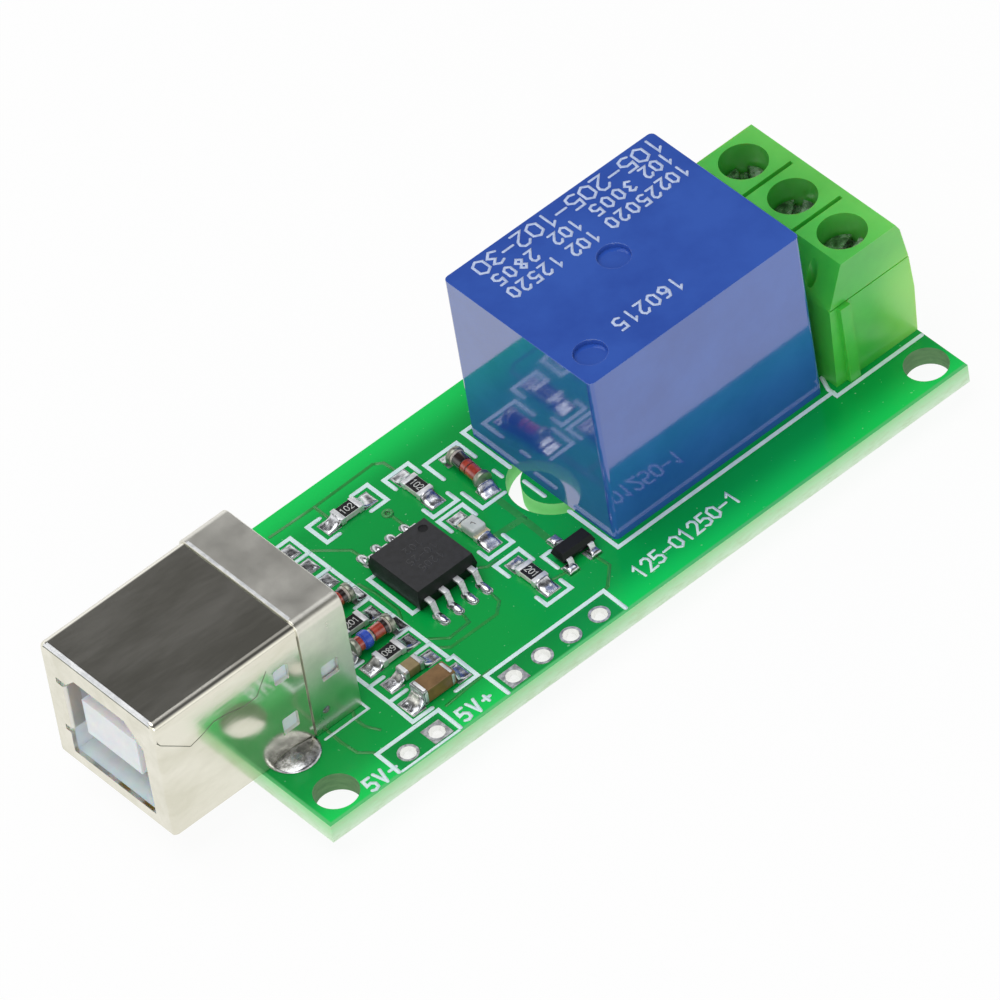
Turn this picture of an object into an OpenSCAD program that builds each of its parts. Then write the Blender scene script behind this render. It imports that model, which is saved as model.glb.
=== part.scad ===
// Relay module board: a type B socket, a small controller, one relay and a three-way screw terminal.
// Placement below is given from the near left corner of the board. The part's own frame has its
// origin midway between the two mounting holes, on the underside of the board, with +X towards
// the screw terminal and +Z up.

/* [Board] */
// Thickness of the board
board_t = 1.6; // [1.2:0.1:2.4]
// Strip along the near edge that holds the solder holes
front_strip_w = 5.45; // [5.2:0.05:8]
// Strip left behind the relay
back_strip_w = 4.35; // [4.3:0.05:8]
// Length of board between the socket and the relay
chip_zone_l = 21.5; // [21.3:0.1:28]
// Diameter of the two mounting holes
mount_hole_d = 3.2; // [2.2:0.1:3.2]
// Left mounting hole, from the socket end
mount_left_inset = 2.35; // [2.3:0.05:2.6]
// Right mounting hole, from the terminal end
mount_right_inset = 1.85; // [1.85:0.05:2.6]
// Both mounting holes, from the near edge
mount_edge_inset = 2.15; // [2:0.05:2.4]
// Length of lead left below the board
lead_stub = 1.4; // [1:0.1:2.5]

/* [Solder holes] */
// Pitch of the solder holes
header_pitch = 2.54; // [2.5:0.01:2.6]
// Bore of a solder hole
header_hole_d = 0.95; // [0.8:0.05:1.1]
// Outer size of the copper round a solder hole
header_pad_d = 1.6; // [1.5:0.05:1.8]
// Solder holes, from the near edge
header_edge_inset = 1.18; // [1.1:0.02:1.4]
// First of the two supply holes, from the socket end
supply_hole_x = 7.85; // [7.4:0.05:8.5]
// First of the four programming holes, from the socket end
program_hole_x = 17.2; // [16.5:0.1:18]

/* [Socket] */
// Width of the socket's metal shell
usb_w = 12; // [11.5:0.1:12.5]
// Length of the shell
usb_l = 16.2; // [16:0.1:18]
// Height of the shell above the board
usb_h = 10.4; // [10.2:0.1:11.5]
// Length of the shell that stands out past the board
usb_overhang = 7.6; // [6:0.1:7.8]
// Length of the rear cover
usb_rear_l = 3.9; // [3.6:0.1:4]
// Thickness of the sheet metal
sheet_t = 0.3; // [0.25:0.05:0.35]
// Radius along the shell's top edges
usb_edge_r = 0.7; // [0.4:0.1:1]
// Width of the mouth
mouth_w = 8.45; // [8.3:0.05:8.6]
// Height of the mouth
mouth_h = 7.8; // [7.6:0.1:7.9]
// Depth of the mouth
mouth_d = 9; // [8.5:0.1:9.5]
// Chamfer at the mouth's two upper corners
mouth_chamfer = 1.6; // [1.2:0.1:1.8]
// Width of the tongue
tongue_w = 5.6; // [5.5:0.1:5.8]
// Height of the tongue
tongue_h = 3.2; // [3.1:0.1:3.3]
// Shell leg, from the front of the shell
usb_leg_x = 10.25; // [10:0.05:10.6]

/* [Relay] */
// Length of the relay case
relay_l = 18.8; // [18.6:0.1:19.6]
// Width of the relay case
relay_w = 15; // [15:0.1:16]
// Height of the relay case
relay_h = 14.9; // [14.9:0.1:16]
// Wall of the relay case
relay_wall = 0.7; // [0.6:0.05:0.75]
// Travel of the armature, in degrees
armature_travel = 3; // [2.5:0.1:3]
// Outer diameter of the coil
coil_d = 9; // [8:0.1:9.2]
// Diameter of the coil's core
core_d = 3.5; // [3:0.1:3.8]

/* [Screw terminal] */
// Gap between the relay and the terminal block
terminal_gap = 0.9; // [0.5:0.1:2]
// Depth of the terminal block, along the board
terminal_d = 7.4; // [7.4:0.1:8]
// Height of the terminal block
terminal_h = 10.4; // [10.4:0.1:11.5]
// Pitch of the three ways
terminal_pitch = 5; // [5:0.01:5.2]
// Wall outside the first and last way
terminal_end_w = 2.3; // [2.3:0.05:3]
// Diameter of a screw well
well_d = 3.5; // [3.4:0.05:3.7]
// Diameter of a screw head
screw_head_d = 3.2; // [3:0.05:3.3]
// Diameter of a screw shank
screw_d = 2.5; // [2.3:0.05:2.6]
// Rise of the clamp cage in one turn of its screw
screw_lead = 0.45; // [0.35:0.05:0.45]
// Turns from open to clamped
screw_turns = 4; // [3:1:4]

/* [Chips] */
// Size of the controller's body along the board
controller_l = 5.2; // [4.9:0.1:5.4]
// Size of the controller's body across the board
controller_w = 5.3; // [4.9:0.1:5.4]
// Height of the controller's body
controller_h = 1.9; // [1.6:0.1:2.1]
// Width over the tips of the controller's leads
controller_span = 8.3; // [8.1:0.1:8.5]
// Length of a chip resistor
resistor_l = 2; // [1.8:0.1:2.2]
// Width of a chip resistor
resistor_w = 1.25; // [1.1:0.05:1.35]
// Length of a diode
diode_l = 3.5; // [3.3:0.1:3.6]
// Diameter of a diode
diode_d = 1.4; // [1.3:0.05:1.5]
// Length of the large capacitor
large_cap_l = 3.2; // [3:0.1:3.4]
// Width of the large capacitor
large_cap_w = 1.7; // [1.5:0.1:1.8]
// Length of the transistor's body
transistor_l = 2.9; // [2.7:0.1:3]

/* [Hidden] */
$fn = 48;
sliver = 0.01;

// Board
usb_seat_l = usb_l - usb_overhang;
relay_x = usb_seat_l + chip_zone_l;
terminal_x = relay_x + relay_l + terminal_gap;
board_l = terminal_x + terminal_d;
board_w = front_strip_w + relay_w + back_strip_w;
centre_y = front_strip_w + relay_w / 2;
mount_spacing = board_l - mount_left_inset - mount_right_inset;
origin_x = mount_left_inset + mount_spacing / 2;
origin_y = mount_edge_inset;
lead_end_z = -lead_stub;
pad_t = 0.05;
seat_z = board_t + pad_t;
plating_t = 0.05;

// Solder holes: [x, square pad]
supply_holes = [[supply_hole_x, false], [supply_hole_x + header_pitch, true]];
program_holes = [for (i = [0:3]) [program_hole_x + i * header_pitch, i == 0]];
header_holes = concat(supply_holes, program_holes);
via_d = 0.4;
via_pad_d = 0.8;
via_place = [21.35, 18.95];

// Slot round the relay's common lead
slot_outer_r = 3.45;
slot_w = 1;
slot_offset = 1.2;
slot_from = 78;
slot_sweep = 204;

// Socket, which stands on the pads of its two legs
usb_z = seat_z;
usb_front = -usb_overhang;
usb_rear = usb_seat_l;
band_x = usb_rear - usb_rear_l;
band_raise = 0.15;
usb_inner_r = usb_edge_r - sheet_t;
mouth_z = usb_z + 0.9;
tongue_z = mouth_z + (mouth_h - tongue_h) / 2 + 0.15;
tongue_front = usb_front + 0.45;
tab_h = 4;
tab_depth = 1.2;
tab_notch = 0.5;
tab_z = mouth_z + 2.3;
cut_past = 1;
leg_w = 1.8;
leg_x = usb_front + usb_leg_x;
leg_hole_d = 2.3;
leg_pad_d = 3.9;
// Side windows, from the shell's front and from the board: [x, z, length, height]
side_windows = [[9.7, 6.85, 1.5, 1.1], [9.8, 2.5, 1.5, 1.2]];
rear_windows = [[13.5, 4.4, 1.6, 1.1]];
rear_dimple = [13.4, 1.75];
rear_dimple_d = 0.6;
usb_pin_gap = 2.71;
usb_pin_rows = 2;
usb_pin_x = [leg_x + usb_pin_gap, leg_x + usb_pin_gap + usb_pin_rows];
usb_pin_y = 1.25;
usb_pin_w = 0.6;
usb_pin_t = 0.25;
usb_pin_hole_d = 0.95;
contact_w = 1.1;
contact_t = 0.2;
contact_back = 0.8;

// Relay, measured from the case's own corner and from the board's top
cover_top_t = 0.8;
dimple_d = 2.4;
dimple_depth = 0.25;
dimples = [[relay_l / 2 - 0.2, relay_w / 2 + 0.5], [2.1, 2.35]];
base_z = 0.2;
base_t = 1.5;
base_gap = 0.05;
yoke_t = 1.2;
yoke_u = 1.4;
yoke_w = 9;
pole_z = 10.6;
pole_d = 6;
pole_t = 0.5;
coil_u = yoke_u + yoke_t + 0.3 + coil_d / 2;
bobbin_wall = 0.5;
flange_t = 0.6;
flange_over = 0.7;
yoke_z = base_z + base_t;
flange_z = yoke_z + yoke_t;
upper_flange_z = pole_z - pole_t - flange_t;
running_gap = 0.03;
armature_t = 1;
armature_l = coil_u + pole_d / 2 - yoke_u;
armature_w = 8.6;
leaf_t = 0.2;
leaf_w = 4;
leaf_start = 0.6;
contact_reach = 12.8;
contact_u = yoke_u + contact_reach;
button_d = 2.4;
button_proud = 0.4;
leaf_z = pole_z + running_gap + armature_t;
leaf_end = contact_u + button_d / 2 + 0.1;
contact_strip_t = 0.35;
contact_strip_w = 1.2;
fixed_button_d = 2.2;
fixed_button_t = 0.35;
contact_gap = 0.05;
button_top_lever = contact_u + button_d / 2 - yoke_u;
button_top_open = pole_z + (leaf_z + leaf_t + button_proud - pole_z) * cos(armature_travel)
    + button_top_lever * sin(armature_travel);
closed_button_z = button_top_open + contact_gap;
open_button_z = leaf_z - button_proud - contact_gap;
relay_pin_t = 0.6;
common_u = yoke_u + relay_pin_t / 2;
coil_pin_gap = 2.2;
coil_pin_u = common_u + coil_pin_gap;
coil_pin_rise = 2;
contact_pin_inset = 2.7;
contact_pin_u = relay_l - contact_pin_inset;
relay_pin_v = 6;
relay_hole_d = 1.5;
spring_t = 0.2;
spring_w = 5;
spring_u = yoke_u - 0.4;
spring_foot_z = 5;
spring_arm_z = leaf_z + leaf_t + 0.4;
spring_arm_l = 3;
rivet_d = 1.4;
lug_l = 2;
lug_over = 0.6;
lug_wall = 0.6;

// Screw terminal, measured from its relay side and from the board's top
terminal_w = 2 * terminal_pitch + 2 * terminal_end_w;
terminal_y = centre_y - 0.6;
ways = [-terminal_pitch, 0, terminal_pitch];
shoulder_h = 6.9;
slope_run = 1.5;
side_draft = 0.3;
crown = 0.25;
crown_h = 4;
top_chamfer = 0.6;
well_u = 4.03;
cage_l = 3.6;
cage_w = 3.4;
cage_wall = 0.6;
cage_floor_t = 0.7;
cage_top_t = 1;
cage_gap = 0.05;
tongue_t = 0.7;
clamp_travel = screw_lead * screw_turns;
cage_h = cage_floor_t + clamp_travel + tongue_t + 2 * cage_gap + cage_top_t;
chamber_z = 0.5;
chamber_h = cage_h + clamp_travel + 2 * cage_gap;
chamber_w = cage_w + 2 * cage_gap;
cage_z = chamber_z + cage_gap;
strip_z = cage_z + cage_floor_t + clamp_travel + cage_gap;
strip_w = cage_w - 2 * cage_wall - 2 * cage_gap;
strip_u = well_u - cage_l / 2 - 0.13 - tongue_t;
screw_seat_t = 0.6;
screw_seat_z = chamber_z + chamber_h + screw_seat_t;
screw_head_t = 1.2;
screw_slot_w = 0.6;
screw_slot_d = 0.6;
screw_tip_z = strip_z + tongue_t + cage_gap;
shank_gap = 0.1;
entry_w = 3;
entry_h = 3.8;
entry_z = 0.8;
vent_d = 0.9;
divider_w = 0.35;
divider_depth = 0.5;
rib_w = 0.9;
rib_proud = 0.4;
rib_u = 0.95;
parting_t = 0.12;
terminal_pin_w = 1;
terminal_hole_d = 1.4;

// Chips: places are [x, y, turn]
small_x_gap = 4.2;
near_relay_gap = 6;
controller_gap = 10.7;
controller_rise = 0.45;
small_x = usb_seat_l + small_x_gap;
near_relay_x = relay_x - near_relay_gap;
chip_row_y = centre_y - 0.65;
controller_place = [usb_seat_l + controller_gap, chip_row_y + controller_rise];
far_resistor_shift = 0.2;
far_resistor_rise = 8.65;
relay_side_shift = 0.1;
relay_side_rise = 6.8;
large_cap_drop = 8.1;
resistor_places = [
    [controller_place.x + far_resistor_shift, chip_row_y + far_resistor_rise, 0],
    [near_relay_x + relay_side_shift, chip_row_y + relay_side_rise, 90],
    [near_relay_x, chip_row_y - 5.15, 90],
    [small_x, chip_row_y + 0.35, 0],
    [small_x, chip_row_y - 3.5, 0]
];
diode_places = [
    [relay_x - 2.6, chip_row_y + 5.2, 97],
    [small_x, chip_row_y + 2.5, 0],
    [small_x, chip_row_y - 1.7, 0]
];
led_place = [near_relay_x + relay_side_shift, chip_row_y + 0.95, 90];
small_cap_place = [small_x, chip_row_y - 5.65, 0];
large_cap_place = [small_x, chip_row_y - large_cap_drop, 0];
bare_pad_rise = [4.85, 6.85, 8.8];
bare_pad_rows = [for (rise = bare_pad_rise) chip_row_y + rise];
transistor_place = [relay_x - 2.85, chip_row_y - 5.2];
pad_l = 1.15;
pad_w = 1.3;
pad_reach = 0.63;
diode_pad_in = 0.6;
cap_pad_in = 0.4;
controller_pad = [0.7, 1.5];
controller_pad_back = 0.2;
transistor_pad = 0.9;
resistor_h = 0.55;
resistor_end_l = 0.4;
end_t = 0.05;
diode_end_l = 0.45;
diode_pocket = 0.35;
glass_gap = 0.05;
led_l = 2;
led_w = 1.25;
led_base_h = 0.4;
led_end_l = 0.4;
lens_w = 1.2;
lens_h = 0.8;
small_cap_l = 2;
small_cap_w = 1.25;
small_cap_h = 0.9;
large_cap_h = 1.4;
cap_end_l = 0.45;
lead_pitch = 1.27;
lead_w = 0.46;
lead_t = 0.2;
lead_foot_l = 0.65;
lead_shoulder_l = 0.5;
body_gap = 0.1;
body_draft = 0.18;
pin_mark_d = 0.7;
pin_mark_depth = 0.05;
pin_mark_inset = 0.9;
transistor_w = 1.3;
transistor_h = 1.05;
transistor_span = 2.5;
transistor_pitch = 1.9;
transistor_lead_t = 0.14;
transistor_foot_l = 0.35;
transistor_shoulder_l = 0.08;
solder_t = 0.8;
solder_tip = 0.9;
solder_spread = 0.9;

resistor_count = len(resistor_places);
diode_count = len(diode_places);

// Shared shapes

function arc_points(centre, r, from, to, steps) =
    [for (i = [0:steps], angle = from + (to - from) * i / steps) centre + r * [cos(angle), sin(angle)]];

// Outline of an arch with rounded upper corners, standing on y = 0
function arch_points(w, h, r, steps = 6) = concat(
    [[-w / 2, 0]],
    arc_points([r - w / 2, h - r], r, 180, 90, steps),
    arc_points([w / 2 - r, h - r], r, 90, 0, steps),
    [[w / 2, 0]]
);

// Outline of the socket's mouth, with its two upper corners cut off
function mouth_points(grow = 0) = [
    [-mouth_w / 2 - grow, -grow],
    [-mouth_w / 2 - grow, mouth_h - mouth_chamfer],
    [mouth_chamfer - mouth_w / 2, mouth_h + grow],
    [mouth_w / 2 - mouth_chamfer, mouth_h + grow],
    [mouth_w / 2 + grow, mouth_h - mouth_chamfer],
    [mouth_w / 2 + grow, -grow]
];

// From board corner coordinates into the part's own frame
module in_frame() {
    translate([-origin_x, -origin_y, 0]) children();
}

// Extrudes a profile drawn in Y and Z along X, from x to x + l
module along_x(x, l) {
    translate([x, 0, 0]) rotate([90, 0, 90]) linear_extrude(l) children();
}

// Extrudes a profile drawn in X and Z along Y, centred on y = 0
module along_y(w) {
    translate([0, w / 2, 0]) rotate([90, 0, 0]) linear_extrude(w) children();
}

module box(x, y, z) {
    translate([x[0], y[0], z[0]]) cube([x[1] - x[0], y[1] - y[0], z[1] - z[0]]);
}

module bar(l, w, h) {
    translate([-l / 2, -w / 2, 0]) cube([l, w, h]);
}

module at_place(place) {
    translate([place.x, place.y, seat_z]) rotate(place.z) children();
}

// A chip that isn't turned
module at_spot(place) {
    at_place([place.x, place.y, 0]) children();
}

module at_socket() {
    translate([0, centre_y, 0]) children();
}

module at_relay() {
    translate([relay_x, front_strip_w, board_t]) children();
}

module at_terminal() {
    translate([terminal_x, terminal_y, board_t]) children();
}

// Places of every lead that passes through the board: [x, y, hole diameter]
relay_lead_holes = [for (lead = [
        [common_u, relay_w / 2],
        [coil_pin_u, relay_w / 2 - relay_pin_v],
        [coil_pin_u, relay_w / 2 + relay_pin_v],
        [contact_pin_u, relay_w / 2 - relay_pin_v],
        [contact_pin_u, relay_w / 2 + relay_pin_v]
    ]) [relay_x + lead.x, front_strip_w + lead.y, relay_hole_d]];
terminal_lead_holes = [for (y = ways) [terminal_x + strip_u + tongue_t / 2, terminal_y + y, terminal_hole_d]];
usb_lead_holes = [for (x = usb_pin_x, side = [-1, 1]) [x, centre_y + side * usb_pin_y, usb_pin_hole_d]];
usb_leg_holes = [for (side = [-1, 1]) [leg_x, centre_y + side * (usb_w - sheet_t) / 2, leg_hole_d]];
lead_holes = concat(relay_lead_holes, terminal_lead_holes, usb_lead_holes, usb_leg_holes);

// Board

module circuit_board() {
    color([0.05, 0.62, 0.2]) in_frame() difference() {
        cube([board_l, board_w, board_t]);
        for (x = [mount_left_inset, board_l - mount_right_inset])
            translate([x, mount_edge_inset, -1]) cylinder(d = mount_hole_d, h = board_t + 2);
        for (hole = header_holes)
            translate([hole.x, header_edge_inset, -1])
                cylinder(d = header_hole_d + 2 * plating_t, h = board_t + 2);
        for (hole = lead_holes)
            translate([hole.x, hole.y, -1]) cylinder(d = hole.z, h = board_t + 2);
        translate([via_place.x, via_place.y, -1]) cylinder(d = via_d, h = board_t + 2);
        translate([relay_x + slot_offset, centre_y, -1]) rotate(slot_from)
            rotate_extrude(angle = slot_sweep)
                translate([slot_outer_r - slot_w, 0]) square([slot_w, board_t + 2]);
    }
}

// Copper ring or square on one face of the board
module ring_pad(z, d, hole_d, is_square) {
    translate([0, 0, z]) difference() {
        if (is_square) bar(d, d, pad_t);
        else cylinder(d = d, h = pad_t);
        translate([0, 0, -1]) cylinder(d = hole_d, h = pad_t + 2);
    }
}

// Copper pad with round ends under one of the controller's leads
module round_ended_pad(l, w) {
    straight = l - w;
    bar(w, straight, pad_t);
    for (end = [-1, 1]) translate([0, end * straight / 2, 0]) cylinder(d = w, h = pad_t);
}

// Two solder pads under a chip of length l
module chip_pads(l, w) {
    for (side = [-1, 1])
        translate([side * (l / 2 + pad_reach), 0, -pad_t]) bar(pad_l, w, pad_t);
}

module plated_pads() {
    color([0.75, 0.75, 0.72]) in_frame() {
        for (hole = header_holes) translate([hole.x, header_edge_inset, 0]) {
            ring_pad(board_t, header_pad_d, header_hole_d, hole.y);
            ring_pad(-pad_t, header_pad_d, header_hole_d, hole.y);
            difference() {
                cylinder(d = header_hole_d + 2 * plating_t, h = board_t);
                translate([0, 0, -1]) cylinder(d = header_hole_d, h = board_t + 2);
            }
        }
        translate([via_place.x, via_place.y, 0]) ring_pad(board_t, via_pad_d, via_d, false);
        for (hole = usb_leg_holes) {
            translate([hole.x, hole.y, 0]) ring_pad(board_t, leg_pad_d, leg_hole_d, false);
        }
        for (place = resistor_places) at_place(place) chip_pads(resistor_l, pad_w);
        for (place = diode_places) at_place(place) chip_pads(diode_l - diode_pad_in, diode_d);
        for (y = bare_pad_rows) at_place([small_x, y, 0]) chip_pads(resistor_l, pad_w);
        at_place(led_place) chip_pads(led_l, pad_w);
        at_place(small_cap_place) chip_pads(small_cap_l, pad_w);
        at_place(large_cap_place) chip_pads(large_cap_l - cap_pad_in, large_cap_w);
        for (side = [-1, 1], i = [-1.5:1.5])
            translate([
                controller_place.x + i * lead_pitch,
                controller_place.y + side * (controller_span / 2 - controller_pad_back),
                board_t
            ]) round_ended_pad(controller_pad.y, controller_pad.x);
        for (lead = transistor_leads_at())
            translate([
                transistor_place.x + lead.x,
                transistor_place.y + lead.y * transistor_span / 2,
                board_t
            ]) bar(transistor_pad, transistor_pad, pad_t);
    }
}

// Cone of solder round one lead, on the underside
module solder_cone(hole) {
    translate([hole.x, hole.y, -solder_t])
        cylinder(d1 = hole.z * solder_tip, d2 = hole.z + solder_spread, h = solder_t);
}

module solder_joints() {
    color([0.7, 0.7, 0.7]) in_frame() difference() {
        for (hole = lead_holes) solder_cone(hole);
        all_leads();
    }
}

// Every lead that comes through the board, for cutting the solder round it
module all_leads() {
    at_relay() relay_leads();
    at_terminal() for (y = ways) translate([0, y, 0]) terminal_lead();
    at_socket() {
        usb_legs();
        for (x = usb_pin_x, side = [-1, 1]) usb_pin(x, side * usb_pin_y, usb_z);
    }
}

// Socket

module usb_legs() {
    for (side = [-1, 1])
        translate([leg_x, side * (usb_w - sheet_t) / 2, lead_end_z])
            bar(leg_w, sheet_t, usb_z + sheet_t - lead_end_z);
}

// Cut through both side walls: a window given from the shell's front and from the board
module side_window(window) {
    box(
        [usb_front + window[0], usb_front + window[0] + window[2]],
        [-usb_w, usb_w],
        [usb_z + window[1], usb_z + window[1] + window[3]]
    );
}

module usb_shell() {
    l = usb_l - usb_rear_l;
    color([0.82, 0.81, 0.76]) in_frame() at_socket() {
        difference() {
            along_x(usb_front, l) translate([0, usb_z]) polygon(arch_points(usb_w, usb_h, usb_edge_r));
            along_x(usb_front + sheet_t, l) translate([0, usb_z + sheet_t])
                polygon(arch_points(usb_w - 2 * sheet_t, usb_h - 2 * sheet_t, usb_inner_r));
            along_x(usb_front - cut_past, 2 * cut_past) translate([0, mouth_z]) polygon(mouth_points());
            for (z = [tab_z - tab_notch, tab_z + tab_h])
                box(
                    [usb_front - cut_past, usb_front + cut_past],
                    [0, mouth_w / 2 + tab_notch],
                    [z, z + tab_notch]
                );
            for (window = side_windows) side_window(window);
        }
        // Tab cut free by the two notches and folded inwards
        translate([usb_front + tab_depth / 2, (mouth_w - sheet_t) / 2, tab_z])
            bar(tab_depth, sheet_t, tab_h);
        usb_legs();
    }
}

module usb_rear_cover() {
    w = usb_w + 2 * band_raise;
    h = usb_h + band_raise;
    color([0.8, 0.79, 0.75]) in_frame() at_socket() difference() {
        along_x(band_x, usb_rear_l) translate([0, usb_z]) polygon(arch_points(w, h, usb_edge_r + band_raise));
        along_x(band_x - sheet_t, usb_rear_l) translate([0, usb_z - sheet_t])
            polygon(arch_points(w - 2 * sheet_t, h, usb_inner_r + band_raise));
        for (window = rear_windows) side_window(window);
        translate([usb_front + rear_dimple.x, 0, usb_z + rear_dimple.y]) rotate([90, 0, 0])
            cylinder(d = rear_dimple_d, h = 2 * usb_w, center = true);
    }
}

module usb_pin(x, y, top) {
    translate([x, y, lead_end_z]) bar(usb_pin_t, usb_pin_w, top - lead_end_z);
}

// One contact: a strip on the tongue, a run back through the plastic and a pin down to the board
module usb_contact(x, y, z) {
    box(
        [tongue_front + contact_back, x + usb_pin_t / 2],
        [y - contact_w / 2, y + contact_w / 2],
        [z, z + contact_t]
    );
    usb_pin(x, y, z + contact_t);
}

module usb_contact_set() {
    for (side = [-1, 1]) {
        usb_contact(usb_pin_x[1], side * usb_pin_y, tongue_z + tongue_h - contact_t);
        usb_contact(usb_pin_x[0], side * usb_pin_y, tongue_z);
    }
}

module usb_contacts() {
    color([0.85, 0.68, 0.3]) in_frame() at_socket() usb_contact_set();
}

module usb_insulator() {
    w = usb_w - 2 * sheet_t;
    front = usb_front + sheet_t;
    color([0.95, 0.95, 0.93]) in_frame() at_socket() difference() {
        union() {
            difference() {
                box([front, usb_rear - sheet_t], [-w / 2, w / 2], [usb_z + sheet_t, usb_z + usb_h - sheet_t]);
                along_x(front - 1, mouth_d + 1) translate([0, mouth_z]) polygon(mouth_points());
            }
            box(
                [tongue_front, usb_front + sheet_t + mouth_d + 1],
                [-tongue_w / 2, tongue_w / 2],
                [tongue_z, tongue_z + tongue_h]
            );
        }
        usb_contact_set();
        for (side = [-1, 1])
            box(
                [front - 1, usb_rear],
                [side * w / 2 - usb_inner_r, side * w / 2 + usb_inner_r],
                [usb_z + usb_h - usb_edge_r, usb_z + usb_h]
            );
    }
}

// Relay

// Two coil leads and the common lead
module relay_pin_set() {
    for (side = [-1, 1])
        translate([coil_pin_u, relay_w / 2 + side * relay_pin_v, lead_end_z - board_t])
            bar(relay_pin_t, relay_pin_t, board_t - lead_end_z + flange_z + coil_pin_rise);
    translate([common_u, relay_w / 2, lead_end_z - board_t])
        bar(relay_pin_t, contact_strip_w, board_t - lead_end_z + yoke_z);
}

module relay_leads() {
    relay_pin_set();
    for (side = [-1, 1])
        translate([contact_pin_u, relay_w / 2 + side * relay_pin_v, lead_end_z - board_t])
            bar(contact_strip_w, relay_pin_t, board_t - lead_end_z + yoke_z);
}

module relay_cover() {
    color([0.1, 0.25, 0.62]) in_frame() at_relay() difference() {
        cube([relay_l, relay_w, relay_h]);
        box(
            [relay_wall, relay_l - relay_wall],
            [relay_wall, relay_w - relay_wall],
            [-1, relay_h - cover_top_t]
        );
        for (dimple = dimples)
            translate([dimple.x, dimple.y, relay_h - dimple_depth]) cylinder(d = dimple_d, h = 1);
    }
}

module relay_base() {
    inset = relay_wall + base_gap;
    color([0.08, 0.2, 0.5]) in_frame() at_relay() difference() {
        box([inset, relay_l - inset], [inset, relay_w - inset], [base_z, base_z + base_t]);
        relay_leads();
    }
}

module relay_pins() {
    color([0.8, 0.78, 0.7]) in_frame() at_relay() relay_pin_set();
}

module relay_yoke() {
    l = coil_u + pole_d / 2 - yoke_u;
    color([0.7, 0.7, 0.72]) in_frame() at_relay() difference() {
        translate([0, relay_w / 2, 0]) along_y(yoke_w) polygon([
            [yoke_u, yoke_z],
            [yoke_u + l, yoke_z],
            [yoke_u + l, yoke_z + yoke_t],
            [yoke_u + yoke_t, yoke_z + yoke_t],
            [yoke_u + yoke_t, pole_z],
            [yoke_u, pole_z]
        ]);
        translate([coil_u, relay_w / 2, 0]) cylinder(d = core_d, h = relay_h);
    }
}

module relay_core() {
    color([0.75, 0.75, 0.77]) in_frame() at_relay() translate([coil_u, relay_w / 2, 0]) {
        translate([0, 0, yoke_z]) cylinder(d = core_d, h = pole_z - yoke_z);
        translate([0, 0, pole_z - pole_t]) cylinder(d = pole_d, h = pole_t);
    }
}

module relay_bobbin() {
    tube_d = core_d + 2 * base_gap + 2 * bobbin_wall;
    flange_l = coil_d + 2 * base_gap;
    flange_w = coil_d + 2 * flange_over;
    color([0.9, 0.88, 0.8]) in_frame() at_relay() difference() {
        union() {
            translate([coil_u, relay_w / 2, 0]) {
                translate([0, 0, flange_z]) cylinder(d = tube_d, h = upper_flange_z + flange_t - flange_z);
                for (z = [flange_z, upper_flange_z]) translate([0, 0, z]) bar(flange_l, flange_w, flange_t);
            }
            for (side = [-1, 1])
                translate([coil_pin_u, relay_w / 2 + side * (relay_pin_v - lug_over), flange_z])
                    bar(lug_l, 2 * lug_over + relay_pin_t + lug_wall, flange_t);
        }
        translate([coil_u, relay_w / 2, 0]) cylinder(d = core_d + 2 * base_gap, h = relay_h);
        relay_leads();
    }
}

module relay_coil() {
    tube_d = core_d + 2 * base_gap + 2 * bobbin_wall;
    color([0.72, 0.35, 0.15]) in_frame() at_relay() translate([coil_u, relay_w / 2, flange_z + flange_t])
        difference() {
            cylinder(d = coil_d, h = upper_flange_z - flange_z - flange_t);
            translate([0, 0, -1]) cylinder(d = tube_d, h = relay_h);
        }
}

// Swings a piece drawn in its closed place up to its open place, about the yoke's upper edge
module swung_open() {
    translate([yoke_u, 0, pole_z]) rotate([0, -armature_travel, 0])
        translate([-yoke_u, 0, -pole_z]) children();
}

module relay_armature() {
    color([0.7, 0.7, 0.72]) in_frame() at_relay() swung_open()
        translate([yoke_u + armature_l / 2, relay_w / 2, pole_z + running_gap])
            bar(armature_l, armature_w, armature_t);
}

module relay_contact_leaf() {
    color([0.8, 0.5, 0.25]) in_frame() at_relay() swung_open() {
        box(
            [yoke_u + leaf_start, leaf_end],
            [relay_w / 2 - leaf_w / 2, relay_w / 2 + leaf_w / 2],
            [leaf_z, leaf_z + leaf_t]
        );
        translate([contact_u, relay_w / 2, leaf_z - button_proud])
            cylinder(d = button_d, h = leaf_t + 2 * button_proud);
    }
}

module relay_return_spring() {
    v = [relay_w / 2 - spring_w / 2, relay_w / 2 + spring_w / 2];
    color([0.8, 0.6, 0.3]) in_frame() at_relay() {
        box([spring_u, spring_u + spring_t], v, [spring_foot_z, spring_arm_z + spring_t]);
        box([spring_u, spring_u + spring_arm_l], v, [spring_arm_z, spring_arm_z + spring_t]);
        translate([spring_u, relay_w / 2, spring_foot_z + rivet_d]) rotate([0, 90, 0])
            cylinder(d = rivet_d, h = yoke_u - spring_u);
    }
}

// A fixed contact: lead, riser, arm over or under the moving leaf, and its button
module fixed_contact(side, arm_z, button_z) {
    riser_v = relay_w / 2 + side * relay_pin_v;
    arm_v = relay_w / 2 - side * fixed_button_d / 2;
    translate([contact_pin_u, riser_v, lead_end_z - board_t])
        bar(contact_strip_w, relay_pin_t, board_t - lead_end_z + arm_z + contact_strip_t);
    box(
        [contact_u - fixed_button_d / 2, contact_pin_u + contact_strip_w / 2],
        [min(riser_v - side * relay_pin_t / 2, arm_v), max(riser_v - side * relay_pin_t / 2, arm_v)],
        [arm_z, arm_z + contact_strip_t]
    );
    translate([contact_u, relay_w / 2, button_z]) cylinder(d = fixed_button_d, h = fixed_button_t);
}

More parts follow.
